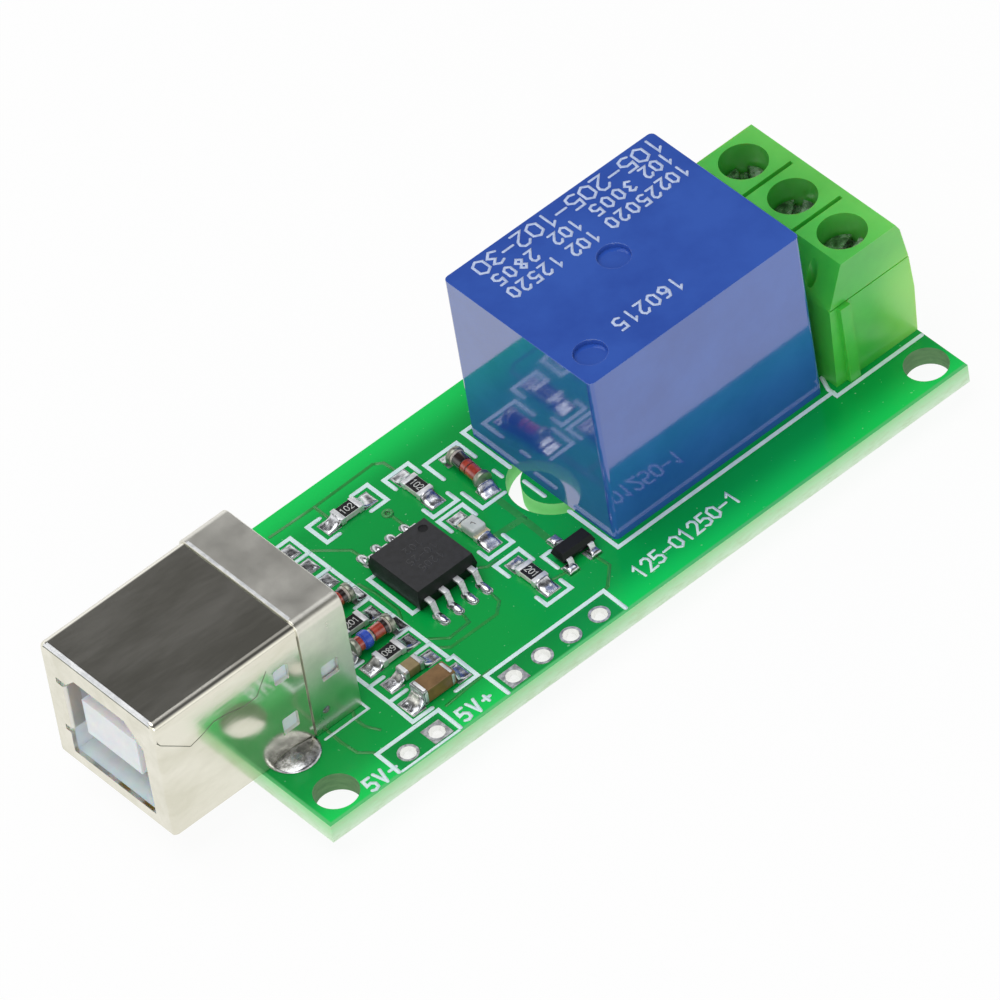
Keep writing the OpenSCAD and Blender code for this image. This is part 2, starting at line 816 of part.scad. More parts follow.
module relay_closed_contact() {
    color([0.85, 0.7, 0.4]) in_frame() at_relay()
        fixed_contact(1, closed_button_z + fixed_button_t, closed_button_z);
}

module relay_open_contact() {
    color([0.85, 0.7, 0.4]) in_frame() at_relay()
        fixed_contact(-1, open_button_z - fixed_button_t - contact_strip_t, open_button_z - fixed_button_t);
}

// Screw terminal

module terminal_outline() {
    polygon([
        [0, 0],
        [terminal_d, 0],
        [terminal_d + crown, crown_h],
        [terminal_d + crown / 2, shoulder_h],
        [terminal_d - side_draft, terminal_h - top_chamfer],
        [terminal_d - side_draft - top_chamfer / 2, terminal_h],
        [side_draft + slope_run, terminal_h],
        [side_draft, shoulder_h]
    ]);
}

module terminal_way_cut() {
    chamber_u = [well_u - cage_l / 2 - 2 * cage_gap, well_u + cage_l / 2 + 2 * cage_gap];
    translate([well_u, 0, screw_seat_z]) cylinder(d = well_d, h = terminal_h);
    translate([well_u, 0, chamber_z]) cylinder(d = screw_d + 2 * shank_gap, h = terminal_h);
    box(chamber_u, [-chamber_w / 2, chamber_w / 2], [chamber_z, chamber_z + chamber_h]);
    box(
        [strip_u - cage_gap, chamber_u[0] + sliver],
        [-strip_w / 2 - cage_gap, strip_w / 2 + cage_gap],
        [-1, strip_z + tongue_t + cage_gap]
    );
    box([well_u, terminal_d + 1], [-entry_w / 2, entry_w / 2], [entry_z, entry_z + entry_h]);
    translate([side_draft + slope_run / 2, 0, shoulder_h]) cylinder(d = vent_d, h = terminal_h);
}

module terminal_housing() {
    color([0.3, 0.72, 0.15]) in_frame() at_terminal() difference() {
        union() {
            along_y(terminal_w) terminal_outline();
            translate([rib_u + rib_w / 2, -terminal_w / 2 - rib_proud / 2, 0])
                bar(rib_w, rib_proud, shoulder_h);
        }
        for (y = ways) translate([0, y, 0]) terminal_way_cut();
        for (y = [-terminal_pitch / 2, terminal_pitch / 2])
            box(
                [side_draft + slope_run / 2, terminal_d - side_draft - top_chamfer - 0.3],
                [y - divider_w / 2, y + divider_w / 2],
                [terminal_h - divider_depth, terminal_h + 1]
            );
        for (side = [-1, 1])
            translate([terminal_d / 2, side * terminal_w / 2, shoulder_h])
                bar(2 * terminal_d, 2 * parting_t, parting_t);
    }
}

module terminal_screw(i) {
    z = screw_seat_z + running_gap;
    color([0.82, 0.82, 0.84]) in_frame() at_terminal() translate([well_u, ways[i - 1], 0]) difference() {
        union() {
            translate([0, 0, screw_tip_z]) cylinder(d = screw_d, h = z - screw_tip_z);
            translate([0, 0, z]) cylinder(d = screw_head_d, h = screw_head_t);
        }
        translate([0, 0, z + screw_head_t - screw_slot_d])
            rotate(20 * i) bar(2 * screw_head_d, screw_slot_w, screw_head_t);
    }
}

module terminal_cage(i) {
    color([0.78, 0.78, 0.8]) in_frame() at_terminal() translate([well_u, ways[i - 1], cage_z]) difference() {
        bar(cage_l, cage_w, cage_h);
        translate([0, 0, cage_floor_t])
            bar(2 * cage_l, cage_w - 2 * cage_wall, cage_h - cage_floor_t - cage_top_t);
        cylinder(d = screw_d + 2 * cage_gap, h = 2 * cage_h);
    }
}

module terminal_lead() {
    translate([strip_u + tongue_t / 2, 0, lead_end_z - board_t])
        bar(tongue_t, terminal_pin_w, board_t - lead_end_z);
}

module terminal_pin(i) {
    color([0.8, 0.76, 0.62]) in_frame() at_terminal() translate([0, ways[i - 1], 0]) {
        box([strip_u, strip_u + tongue_t], [-strip_w / 2, strip_w / 2], [0, strip_z + tongue_t]);
        box([strip_u, well_u + cage_l / 2], [-strip_w / 2, strip_w / 2], [strip_z, strip_z + tongue_t]);
        terminal_lead();
    }
}

// Chips

// Moulded body with sloping sides, parted at mid height
module moulded_body(l, w, h) {
    profile = function(size) [
        [-size / 2 + body_draft, 0],
        [size / 2 - body_draft, 0],
        [size / 2, h / 2],
        [size / 2 - body_draft, h],
        [-size / 2 + body_draft, h],
        [-size / 2, h / 2]
    ];
    intersection() {
        along_y(2 * w) polygon(profile(l));
        along_x(-l, 2 * l) polygon(profile(w));
    }
}

// Gull-wing lead along +Y from a body of half width from, down to its foot, whose tip is at half width to
module gull_lead(from, to, h, shoulder, foot, thick) {
    along_x(-lead_w / 2, lead_w) polygon([
        [from - thick / 2, h - thick / 2],
        [from + shoulder, h - thick / 2],
        [to - foot, 0],
        [to, 0],
        [to, thick],
        [to - foot + thick / 2, thick],
        [from + shoulder + thick / 2, h + thick / 2],
        [from - thick / 2, h + thick / 2]
    ]);
}

module controller_lead_set() {
    for (side = [0, 180], i = [-1.5:1.5])
        rotate(side) translate([i * lead_pitch, 0, 0])
            gull_lead(
                controller_w / 2,
                controller_span / 2,
                (body_gap + controller_h) / 2,
                lead_shoulder_l,
                lead_foot_l,
                lead_t
            );
}

module controller_body() {
    color([0.1, 0.1, 0.1]) in_frame() at_spot(controller_place) difference() {
        translate([0, 0, body_gap]) moulded_body(controller_l, controller_w, controller_h - body_gap);
        controller_lead_set();
        translate([
            controller_l / 2 - pin_mark_inset,
            controller_w / 2 - pin_mark_inset,
            controller_h - pin_mark_depth
        ]) cylinder(d = pin_mark_d, h = 1);
    }
}

module controller_leads() {
    color([0.8, 0.8, 0.78]) in_frame() at_spot(controller_place) controller_lead_set();
}

function transistor_leads_at() = [[0, 1], [-transistor_pitch / 2, -1], [transistor_pitch / 2, -1]];

module transistor_lead_set() {
    for (lead = transistor_leads_at())
        translate([lead.x, 0, 0]) rotate(lead.y > 0 ? 0 : 180)
            gull_lead(
                transistor_w / 2,
                transistor_span / 2,
                transistor_h / 2,
                transistor_shoulder_l,
                transistor_foot_l,
                transistor_lead_t
            );
}

module transistor_body() {
    color([0.1, 0.1, 0.1]) in_frame() at_spot(transistor_place) difference() {
        translate([0, 0, body_gap]) moulded_body(transistor_l, transistor_w, transistor_h - body_gap);
        transistor_lead_set();
    }
}

module transistor_leads() {
    color([0.8, 0.8, 0.78]) in_frame() at_spot(transistor_place) transistor_lead_set();
}

// Core of a chip that sits inside its two metal ends
module chip_core(l, w, h) {
    translate([0, 0, end_t]) bar(l - 2 * end_t, w - 2 * end_t, h - 2 * end_t);
}

module chip_ends(l, w, h, end_l) {
    difference() {
        for (side = [-1, 1]) translate([side * (l - end_l) / 2, 0, 0]) bar(end_l, w, h);
        chip_core(l, w, h);
    }
}

module resistor(i) {
    color([0.12, 0.12, 0.12]) in_frame() at_place(resistor_places[i - 1])
        chip_core(resistor_l, resistor_w, resistor_h);
}

module resistor_ends(i) {
    color([0.78, 0.78, 0.76]) in_frame() at_place(resistor_places[i - 1])
        chip_ends(resistor_l, resistor_w, resistor_h, resistor_end_l);
}

module diode_core(d) {
    translate([0, 0, diode_d / 2]) rotate([0, 90, 0])
        cylinder(d = d, h = diode_l - 2 * (diode_end_l - diode_pocket), center = true);
}

module diode_glass(i) {
    color([0.75, 0.2, 0.1]) in_frame() at_place(diode_places[i - 1]) diode_core(diode_d - 2 * glass_gap);
}

module diode_ends(i) {
    color([0.78, 0.78, 0.76]) in_frame() at_place(diode_places[i - 1]) difference() {
        for (side = [-1, 1])
            translate([side * (diode_l - diode_end_l) / 2, 0, diode_d / 2]) rotate([0, 90, 0])
                cylinder(d = diode_d, h = diode_end_l, center = true);
        diode_core(diode_d - 2 * glass_gap);
    }
}

module led_base() {
    color([0.92, 0.92, 0.88]) in_frame() at_place(led_place) chip_core(led_l, led_w, led_base_h);
}

module led_ends() {
    color([0.78, 0.78, 0.7]) in_frame() at_place(led_place) chip_ends(led_l, led_w, led_base_h, led_end_l);
}

module led_lens() {
    color([0.9, 0.92, 0.9]) in_frame() at_place(led_place) translate([0, 0, led_base_h - end_t])
        bar(led_l - 2 * led_end_l, lens_w, lens_h);
}

module small_capacitor() {
    color([0.62, 0.52, 0.35]) in_frame() at_place(small_cap_place)
        chip_core(small_cap_l, small_cap_w, small_cap_h);
}

module small_capacitor_ends() {
    color([0.8, 0.8, 0.76]) in_frame() at_place(small_cap_place)
        chip_ends(small_cap_l, small_cap_w, small_cap_h, cap_end_l);
}

module large_capacitor() {
    color([0.45, 0.32, 0.18]) in_frame() at_place(large_cap_place)
        chip_core(large_cap_l, large_cap_w, large_cap_h);
}

module large_capacitor_ends() {
    color([0.8, 0.8, 0.76]) in_frame() at_place(large_cap_place)
        chip_ends(large_cap_l, large_cap_w, large_cap_h, cap_end_l);
}

circuit_board();
plated_pads();
solder_joints();
usb_shell();
usb_rear_cover();
usb_insulator();
usb_contacts();
relay_cover();
relay_base();
relay_pins();
relay_yoke();
relay_core();
relay_bobbin();
relay_coil();
relay_armature();
relay_contact_leaf();
relay_return_spring();
relay_closed_contact();
relay_open_contact();
terminal_housing();
for (i = [1:3]) {
    terminal_screw(i);
    terminal_cage(i);
    terminal_pin(i);
}
controller_body();
controller_leads();
transistor_body();
transistor_leads();
for (i = [1:resistor_count]) {
    resistor(i);
    resistor_ends(i);
}
for (i = [1:diode_count]) {
    diode_glass(i);
    diode_ends(i);
}
led_base();
led_ends();
led_lens();
small_capacitor();
small_capacitor_ends();
large_capacitor();
large_capacitor_ends();
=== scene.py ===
# Relay module board: materials, solder, print and light around the CAD frame
import math

import bmesh
import bpy
from mathutils import Matrix, Vector, noise


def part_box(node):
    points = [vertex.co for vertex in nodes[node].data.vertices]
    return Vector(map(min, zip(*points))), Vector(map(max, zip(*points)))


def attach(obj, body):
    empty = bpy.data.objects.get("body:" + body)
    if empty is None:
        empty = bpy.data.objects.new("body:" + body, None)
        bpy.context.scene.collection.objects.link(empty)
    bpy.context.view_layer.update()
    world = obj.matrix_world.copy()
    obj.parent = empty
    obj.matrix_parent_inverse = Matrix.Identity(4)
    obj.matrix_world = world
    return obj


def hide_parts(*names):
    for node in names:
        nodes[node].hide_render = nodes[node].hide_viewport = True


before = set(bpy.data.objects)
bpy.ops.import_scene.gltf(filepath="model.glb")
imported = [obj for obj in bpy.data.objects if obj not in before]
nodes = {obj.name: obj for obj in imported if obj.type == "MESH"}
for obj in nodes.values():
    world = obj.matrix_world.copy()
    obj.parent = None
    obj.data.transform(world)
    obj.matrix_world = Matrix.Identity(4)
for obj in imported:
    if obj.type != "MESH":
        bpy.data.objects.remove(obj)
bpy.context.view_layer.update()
scene = bpy.context.scene
mm = 0.001
boardLow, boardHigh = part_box("circuit_board")
print("frame loaded:", len(nodes), "nodes")


# Places are in millimetres from the board's near left corner, z from its top face
def boardPoint(x, y, z=0.0):
    return Vector((boardLow.x + x * mm, boardLow.y + y * mm, boardHigh.z + z * mm))


def linear(hexColour):
    channels = [int(hexColour[i:i + 2], 16) / 255 for i in (1, 3, 5)]
    return [c / 12.92 if c <= 0.04045 else ((c + 0.055) / 1.055) ** 2.4 for c in channels] + [1]


def addNode(tree, kind, inputs=(), **settings):
    node = tree.nodes.new(kind)
    for name, value in settings.items():
        setattr(node, name, value)
    for socket, value in dict(inputs).items():
        if isinstance(value, bpy.types.NodeSocket):
            tree.links.new(value, node.inputs[socket])
        else:
            node.inputs[socket].default_value = value
    return node


def perMetre(size):
    return 1 / (size * mm)  # a noise texture's scale for a pattern of this size in mm


def startMaterial(name):
    material = bpy.data.materials.new(name)
    material.use_nodes = True
    tree = material.node_tree
    place = addNode(tree, "ShaderNodeTexCoord").outputs["Object"]
    return material, tree, tree.nodes["Principled BSDF"], place


# Lays a colour over another, more and more as a value runs from one limit to the other
def layOver(tree, under, colour, value, limits, amounts, run="LINEAR"):
    share = addNode(tree, "ShaderNodeMapRange", {
        "Value": value, "From Min": limits[0], "From Max": limits[1],
        "To Min": amounts[0], "To Max": amounts[1],
    }, interpolation_type=run).outputs["Result"]
    return addNode(tree, "ShaderNodeMixRGB", {
        "Fac": share, "Color1": under, "Color2": linear(colour),
    }).outputs["Color"]


# A surface from its row: two colours in soft patches, uneven roughness and a fine bump
def surface(name, deep, pale, patch, rough, grain, depth, sockets, extra=()):
    extra = dict(extra)
    material, tree, shader, place = startMaterial(name)
    if "stretch" in extra:
        place = addNode(tree, "ShaderNodeMapping", {
            "Vector": place, "Rotation": (0, 0, extra.get("turn", 0)), "Scale": extra["stretch"],
        }).outputs["Vector"]
    patches = addNode(tree, "ShaderNodeTexNoise", {
        "Vector": place, "Scale": perMetre(patch), "Detail": 4, "Roughness": 0.6,
    }).outputs["Fac"]
    colour = layOver(tree, linear(deep), pale, patches, (0.35, 0.65), (0, 1))
    # Painted glow: the base colour turns paler towards one end, and less so near the top, standing in for
    # light let through the plastic.
    if "glow" in extra:  # light let through towards one end, less so near the top
        axes = addNode(tree, "ShaderNodeSeparateXYZ", {"Vector": place}).outputs
        shares = [
            addNode(tree, "ShaderNodeMapRange", {
                "Value": axes[axis], "From Min": limits[0] * mm, "From Max": limits[1] * mm,
                "To Min": amounts[0], "To Max": amounts[1],
            }, interpolation_type="SMOOTHSTEP").outputs["Result"]
            for axis, limits, amounts in extra["glowRuns"]
        ]
        glow = addNode(tree, "ShaderNodeMath", dict(enumerate(shares)), operation="MULTIPLY").outputs[0]
        colour = addNode(tree, "ShaderNodeMixRGB", {
            "Fac": glow, "Color1": colour, "Color2": linear(extra["glow"]),
        }).outputs["Color"]
    tree.links.new(colour, shader.inputs["Base Color"])
    roughness = addNode(tree, "ShaderNodeMapRange", {
        "Value": patches, "From Min": 0.3, "From Max": 0.7, "To Min": rough[0], "To Max": rough[1],
    }).outputs["Result"]
    tree.links.new(roughness, shader.inputs["Roughness"])
    bumps = addNode(tree, "ShaderNodeTexNoise", {
        "Vector": place, "Scale": perMetre(grain), "Detail": 3, "Roughness": 0.6,
    }).outputs["Fac"]
    bump = addNode(tree, "ShaderNodeBump", {
        "Height": bumps, "Distance": depth * mm, "Strength": 1,
    }).outputs["Normal"]
    tree.links.new(bump, shader.inputs["Normal"])
    for socket, value in sockets.items():
        shader.inputs[socket].default_value = value
    return material


metal = {"Metallic": 1}
# [deep colour, pale colour, patch size in mm, roughness, grain size and depth in mm, sockets, rest]
recipes = {
    # tin over copper, dipped: bright, a little uneven
    "tinned_copper": ["#a9abae", "#e3e5e7", 0.35, (0.3, 0.5), 0.25, 0.004, {"Metallic": 0.75}],
    # matt tin plate on formed leads, hole linings and capacitor ends
    "matt_tin": ["#dcdee0", "#f4f5f6", 0.6, (0.4, 0.5), 0.3, 0.003, {"Metallic": 0.6}],
    # fresh tin inside the plated holes: nearly a mirror, so that they pass the table's light on
    "bright_tin": ["#f2f2f0", "#fcfcfa", 0.6, (0.06, 0.14), 0.4, 0.003, metal],
    # hand-fed tin solder: shiny skin that froze in lumps
    "solder": ["#a6a8ad", "#f0f1f4", 0.45, (0.12, 0.3), 0.35, 0.02, metal],
    # solder of the socket's legs: cooled slowly, grey and clouded
    "clouded_solder": ["#a0a1a4", "#e6e7ea", 0.7, (0.14, 0.36), 0.35, 0.02, metal],
    # oxidised tin on the diodes' end caps
    "dull_tin": ["#868a7c", "#adb0a2", 0.6, (0.3, 0.45), 0.3, 0.004, metal],
    # nickel plate on pressed steel: warm, nearly a mirror, with faint cloudy streaks
    "nickel_shell": [
        "#e2dfd3", "#efece2", 3.0, (0.09, 0.16), 2.5, 0.015, metal,
        {"stretch": (0.35, 1, 1), "turn": 0.5},
    ],
    # the same plate on the shell's upright faces, hazed by handling
    "hazy_nickel": [
        "#dddac8", "#ebe8d9", 2.0, (0.09, 0.15), 2.5, 0.012,
        {"Metallic": 0.86}, {"stretch": (0.35, 1, 1), "turn": 0.5},
    ],
    # the same plate where the sheet was left matt
    "matt_nickel": ["#d9d7cf", "#e6e4dc", 3.0, (0.3, 0.38), 0.3, 0.003, metal],
    # its bent rear part: satin, so that it mirrors nothing sharply
    "satin_nickel": ["#d9d7cb", "#e9e7da", 2.5, (0.26, 0.34), 0.3, 0.003, metal],
    # white glass-filled nylon: faintly blue, half matt
    "white_plastic": [
        "#eceff4", "#f8f9fb", 2.0, (0.35, 0.5), 0.2, 0.004,
        {"IOR": 1.53, "Subsurface Weight": 0.5, "Subsurface Scale": 1.5 * mm},
    ],
    # rolled brass of the contacts
    "brass": ["#b98f45", "#d8b368", 1.0, (0.2, 0.35), 0.3, 0.006, metal],
    # epoxy-sealed PBT case: deep blue, glossy enough to mirror the table
    "blue_plastic": [
        "#2a50ae", "#325bba", 5.0, (0.05, 0.1), 0.35, 0.003,
        {"IOR": 1.76, "Specular Tint": (0.84, 0.97, 1, 1),
         "Coat Weight": 0.8, "Coat Roughness": 0.05, "Coat IOR": 1.5},
    ],
    # bright zinc over the terminal's steel screws
    "zinc_steel": ["#7c7d7a", "#d6d7d6", 0.5, (0.16, 0.34), 0.4, 0.01, metal],
    # plain steel strip
    "steel": ["#a9a7a3", "#c9c7c3", 1.2, (0.22, 0.38), 0.3, 0.006, metal],
    # lacquered winding wire, drawn coarser than real so that its turns show
    "copper_wire": ["#8f4a22", "#c4713a", 0.3, (0.25, 0.4), 0.35, 0.06, metal, {"stretch": (1, 1, 8)}],
    # moulded polyamide: bright green, waxy, lets light in a little
    "green_plastic": [
        "#38b83a", "#4ecb48", 6.0, (0.3, 0.42), 0.3, 0.004,
        {"IOR": 1.6, "Subsurface Weight": 0.3, "Subsurface Scale": 1.2 * mm,
         "Coat Weight": 0.5, "Coat Roughness": 0.32},
        # painted glow: paler yellow-green towards the terminal's right end, less near its top
        {"glow": "#a2f070", "glowRuns": [("X", (24.0, 28.6), (0, 0.85)), ("Z", (6.0, 11.0), (1, 0.3))]},
    ],
    # epoxy moulding compound: nearly black, matt with a sandy grain
    "black_moulding": ["#161618", "#242427", 0.4, (0.45, 0.6), 0.12, 0.008, {"IOR": 1.55}],
    # the transistor's compound: blacker, a little shiny
    "black_compound": ["#060709", "#0d0e11", 0.4, (0.4, 0.55), 0.12, 0.006, {"IOR": 1.4}],
    # glass glaze over the resistor film
    "black_glaze": ["#101012", "#1a1a1c", 0.5, (0.25, 0.4), 0.2, 0.003, {"IOR": 1.5}],
    # red-tinted lead glass of the diodes
    "red_glass": [
        "#8e2a1c", "#bc4634", 0.5, (0.08, 0.16), 0.5, 0.004,
        {"IOR": 1.6, "Coat Weight": 1, "Coat Roughness": 0.04, "Coat IOR": 1.6},
    ],
    # alumina: chalky white
    "white_ceramic": ["#c9cdc6", "#e6e8e2", 0.6, (0.5, 0.65), 0.12, 0.004, {"IOR": 1.6}],
    # cast epoxy lens, milky from the die below
    "clear_lens": [
        "#dfe8e4", "#f4faf7", 0.8, (0.1, 0.2), 0.4, 0.015,
        {"IOR": 1.5, "Transmission Weight": 0.3, "Coat Weight": 0.6},
    ],
    # solder resist strips beside the lens
    "cream_resist": ["#c9bd98", "#e2d9ba", 0.5, (0.4, 0.5), 0.2, 0.004, {"IOR": 1.5}],
    # shadow in the gap where two sheets meet
    "sheet_gap": ["#5c5e50", "#8a8c7e", 1.5, (0.6, 0.8), 0.3, 0.003, {"IOR": 1.3}],
    # fired titanate body of the small capacitor
    "tan_ceramic": ["#85744e", "#9a875e", 0.6, (0.35, 0.5), 0.15, 0.004, {"IOR": 1.6}],
    # the same, fired browner
    "brown_ceramic": ["#70532f", "#846339", 0.8, (0.3, 0.45), 0.15, 0.004, {"IOR": 1.6}],
    # epoxy legend ink
    "legend_ink": ["#d2ecee", "#e0f4f4", 0.5, (0.4, 0.55), 0.15, 0.004, {"IOR": 1.5}],
    # pad print on the relay, thin enough for the blue to show through
    "pad_print": ["#a9bbe4", "#c6d3f0", 0.35, (0.3, 0.45), 0.15, 0.004, {"IOR": 1.5}],
    # laser mark on the controller, hardly paler than the moulding
    "laser_mark": ["#2e2e30", "#3c3c3e", 0.3, (0.5, 0.65), 0.12, 0.003, {"IOR": 1.5}],
    # print on the resistors
    "pale_print": ["#c4c6c2", "#e2e4e0", 0.4, (0.4, 0.5), 0.15, 0.003, {"IOR": 1.5}],
    # solder mask over a copper track: browner where the copper shows through
    "masked_track": ["#1f8a3a", "#2b9442", 1.5, (0.2, 0.3), 0.6, 0.004, {"IOR": 1.5, "Coat Weight": 0.3}],
    # diode glass over its dark, blue and clear parts
    "dark_glass": [
        "#120e0d", "#2a1714", 0.5, (0.08, 0.15), 0.5, 0.004,
        {"IOR": 1.6, "Coat Weight": 1, "Coat Roughness": 0.04},
    ],
    "blue_band": [
        "#2340a8", "#3a60d2", 0.4, (0.2, 0.3), 0.3, 0.003,
        {"IOR": 1.5, "Coat Weight": 0.6, "Coat Roughness": 0.1},
    ],
    "pale_glass": [
        "#9c8f86", "#cbc2b8", 0.4, (0.08, 0.15), 0.4, 0.004,
        {"IOR": 1.6, "Coat Weight": 1, "Coat Roughness": 0.04},
    ],
}


# Glass fibre board: glossy green mask above and below, raw fibre on every cut edge
maskLook = {
    "deep": "#009a40", "pale": "#02a848", "bare": "#02803a", "patch": 9.0,
    # the paler green within this reach of the long edges is a painted glow
    "paintedEdgeGlow": "#12d45c", "glowReach": 3.6,
    # the near-white colour at the foot of the cut edges is a painted glow
    "fibreTop": "#9be8a0", "fibreLowPaintedGlow": "#e6fbe2", "fibreDeep": "#bfe0b0",
    # the dark greens inside the two mounting holes are painted shade
    "boreShadeDeep": "#2c6e3c", "boreShadePale": "#86b078",
    "rimColour": "#5cc878", "rimFrom": 0.16, "rimTo": 0.34,
    "dust": "#8fd6a6", "dustSize": 0.28, "dustLimits": (0.752, 0.802), "dustShare": 0.6,
    "fray": (0.6, 0.6, 2.4), "threadSize": 0.7, "threadDepth": 0.03, "threadLimits": (0.45, 0.7),
    "threadShare": 0.7, "maskThick": 0.02, "ior": 1.55,
    "slotFibrePaintedGlow": "#9ef09c", "slotCentre": (31.3, 12.95), "slotReach": 4.2,
    "rough": 0.18, "fibreRough": 0.7,
    "bareFields": [((9.0, 1.2), (2.5, 1.3)), ((21.2, 1.2), (5.1, 1.3))],
    "fieldBlur": 0.3, "bareShare": 0.75,
    "mountingHoles": [(2.35, 2.15), (55.35, 2.15)], "boreReach": 1.75,
}


def boardMaterial(name, look):
    material, tree, shader, place = startMaterial(name)
    axes = addNode(tree, "ShaderNodeSeparateXYZ", {"Vector": place}).outputs
    clouds = addNode(tree, "ShaderNodeTexNoise", {
        "Vector": place, "Scale": perMetre(look["patch"]), "Detail": 3,
    }).outputs["Fac"]
    green = addNode(tree, "ShaderNodeMixRGB", {
        "Fac": clouds, "Color1": linear(look["deep"]), "Color2": linear(look["pale"]),
    }).outputs["Color"]
    across = addNode(tree, "ShaderNodeMath", {
        0: axes["Y"], 1: (boardLow.y + boardHigh.y) / 2,
    }, operation="SUBTRACT").outputs[0]
    across = addNode(tree, "ShaderNodeMath", {0: across}, operation="ABSOLUTE").outputs[0]
    halfWidth = (boardHigh.y - boardLow.y) / 2
    # Painted glow: the mask turns paler green towards both long edges, standing in for light from below
    # shining through the board.
    limits = (halfWidth - look["glowReach"] * mm, halfWidth)
    green = layOver(tree, green, look["paintedEdgeGlow"], across, limits, (0, 1), "SMOOTHSTEP")
    for centre, half in look["bareFields"]:  # no copper below the mask: darker green
        offset = addNode(tree, "ShaderNodeVectorMath", {
            0: place, 1: tuple(boardPoint(*centre)),
        }, operation="SUBTRACT").outputs["Vector"]
        away = addNode(tree, "ShaderNodeVectorMath", {0: offset}, operation="ABSOLUTE").outputs["Vector"]
        parts = addNode(tree, "ShaderNodeSeparateXYZ", {"Vector": away}).outputs
        overs = [
            addNode(tree, "ShaderNodeMath", {0: parts[axis], 1: size * mm}, operation="SUBTRACT").outputs[0]
            for axis, size in zip("XY", half)
        ]
        outside = addNode(tree, "ShaderNodeMath", dict(enumerate(overs)), operation="MAXIMUM").outputs[0]
        limits = (-look["fieldBlur"] * mm, look["fieldBlur"] * mm)
        green = layOver(tree, green, look["bare"], outside, limits, (look["bareShare"], 0), "SMOOTHSTEP")
    inwards = [
        addNode(tree, "ShaderNodeMath", {0: axes[axis], 1: start}, operation="SUBTRACT").outputs[0]
        for axis, start in zip("XY", boardLow)
    ]
    # the mask stops short of the cut edge
    fromRim = addNode(tree, "ShaderNodeMath", dict(enumerate(inwards)), operation="MINIMUM").outputs[0]
    limits = (look["rimFrom"] * mm, look["rimTo"] * mm)
    green = layOver(tree, green, look["rimColour"], fromRim, limits, (1, 0), "SMOOTHSTEP")
    specks = addNode(tree, "ShaderNodeTexNoise", {
        "Vector": place, "Scale": perMetre(look["dustSize"]), "Detail": 1,
    }).outputs["Fac"]
    green = layOver(tree, green, look["dust"], specks, look["dustLimits"], (0, look["dustShare"]))
    height = axes["Z"]
    thick = boardHigh.z
    # Painted glow: the cut fibre turns paler towards the underside, standing in for light from below
    # shining through the board.
    fibre = layOver(tree, linear(look["fibreLowPaintedGlow"]), look["fibreTop"], height, (0, thick), (0, 1))
    frayed = addNode(tree, "ShaderNodeMapping", {"Vector": place, "Scale": look["fray"]}).outputs["Vector"]
    threads = addNode(tree, "ShaderNodeTexNoise", {
        "Vector": frayed, "Scale": perMetre(look["threadSize"]), "Detail": 5, "Roughness": 0.7,
    }).outputs["Fac"]
    fibre = layOver(tree, fibre, look["fibreDeep"], threads, look["threadLimits"], (0, look["threadShare"]))
    # The mounting holes' walls are darker green: painted shade inside the bores.
    drilled = addNode(tree, "ShaderNodeMixRGB", {
        "Fac": threads, "Color1": linear(look["boreShadeDeep"]), "Color2": linear(look["boreShadePale"]),
    }).outputs["Color"]
    flat = addNode(tree, "ShaderNodeVectorMath", {
        0: place, 1: (1, 1, 0),
    }, operation="MULTIPLY").outputs["Vector"]
    # In the slot the cut fibre takes a brighter green: its own green with a painted glow of light coming
    # through the board.
    cuts = [(look["slotCentre"], look["slotReach"], linear(look["slotFibrePaintedGlow"]))]
    cuts += [(hole, look["boreReach"], drilled) for hole in look["mountingHoles"]]
    for centre, reach, inside in cuts:  # the slot is greener inside, the two drilled holes darker
        middle = boardPoint(*centre)
        away = addNode(tree, "ShaderNodeVectorMath", {
            0: flat, 1: (middle.x, middle.y, 0),
        }, operation="DISTANCE").outputs["Value"]
        inCut = addNode(tree, "ShaderNodeMath", {0: away, 1: reach * mm}, operation="LESS_THAN").outputs[0]
        fibre = addNode(tree, "ShaderNodeMixRGB", {
            "Fac": inCut, "Color1": fibre, "Color2": inside,
        }).outputs["Color"]
    fromMiddle = addNode(tree, "ShaderNodeMath", {0: height, 1: thick / 2}, operation="SUBTRACT").outputs[0]
    fromMiddle = addNode(tree, "ShaderNodeMath", {0: fromMiddle}, operation="ABSOLUTE").outputs[0]
    cutEdge = addNode(tree, "ShaderNodeMath", {
        0: fromMiddle, 1: thick / 2 - look["maskThick"] * mm,
    }, operation="LESS_THAN").outputs[0]
    colour = addNode(tree, "ShaderNodeMixRGB", {
        "Fac": cutEdge, "Color1": green, "Color2": fibre,
    }).outputs["Color"]
    tree.links.new(colour, shader.inputs["Base Color"])
    roughness = addNode(tree, "ShaderNodeMapRange", {
        "Value": cutEdge, "To Min": look["rough"], "To Max": look["fibreRough"],
    }).outputs["Result"]
    tree.links.new(roughness, shader.inputs["Roughness"])
    bump = addNode(tree, "ShaderNodeBump", {
        "Height": threads, "Distance": look["threadDepth"] * mm, "Strength": cutEdge,
    }).outputs["Normal"]
    tree.links.new(bump, shader.inputs["Normal"])
    shader.inputs["IOR"].default_value = look["ior"]
    return material


finishes = {name: surface(name, *recipe) for name, recipe in recipes.items()}
finishes["solder_mask"] = boardMaterial("solder_mask", maskLook)
for node in nodes.values():
    for place, material in enumerate(node.data.materials):
        node.data.materials[place] = finishes[material.name.split(".")[0]]
print("materials:", len(finishes))


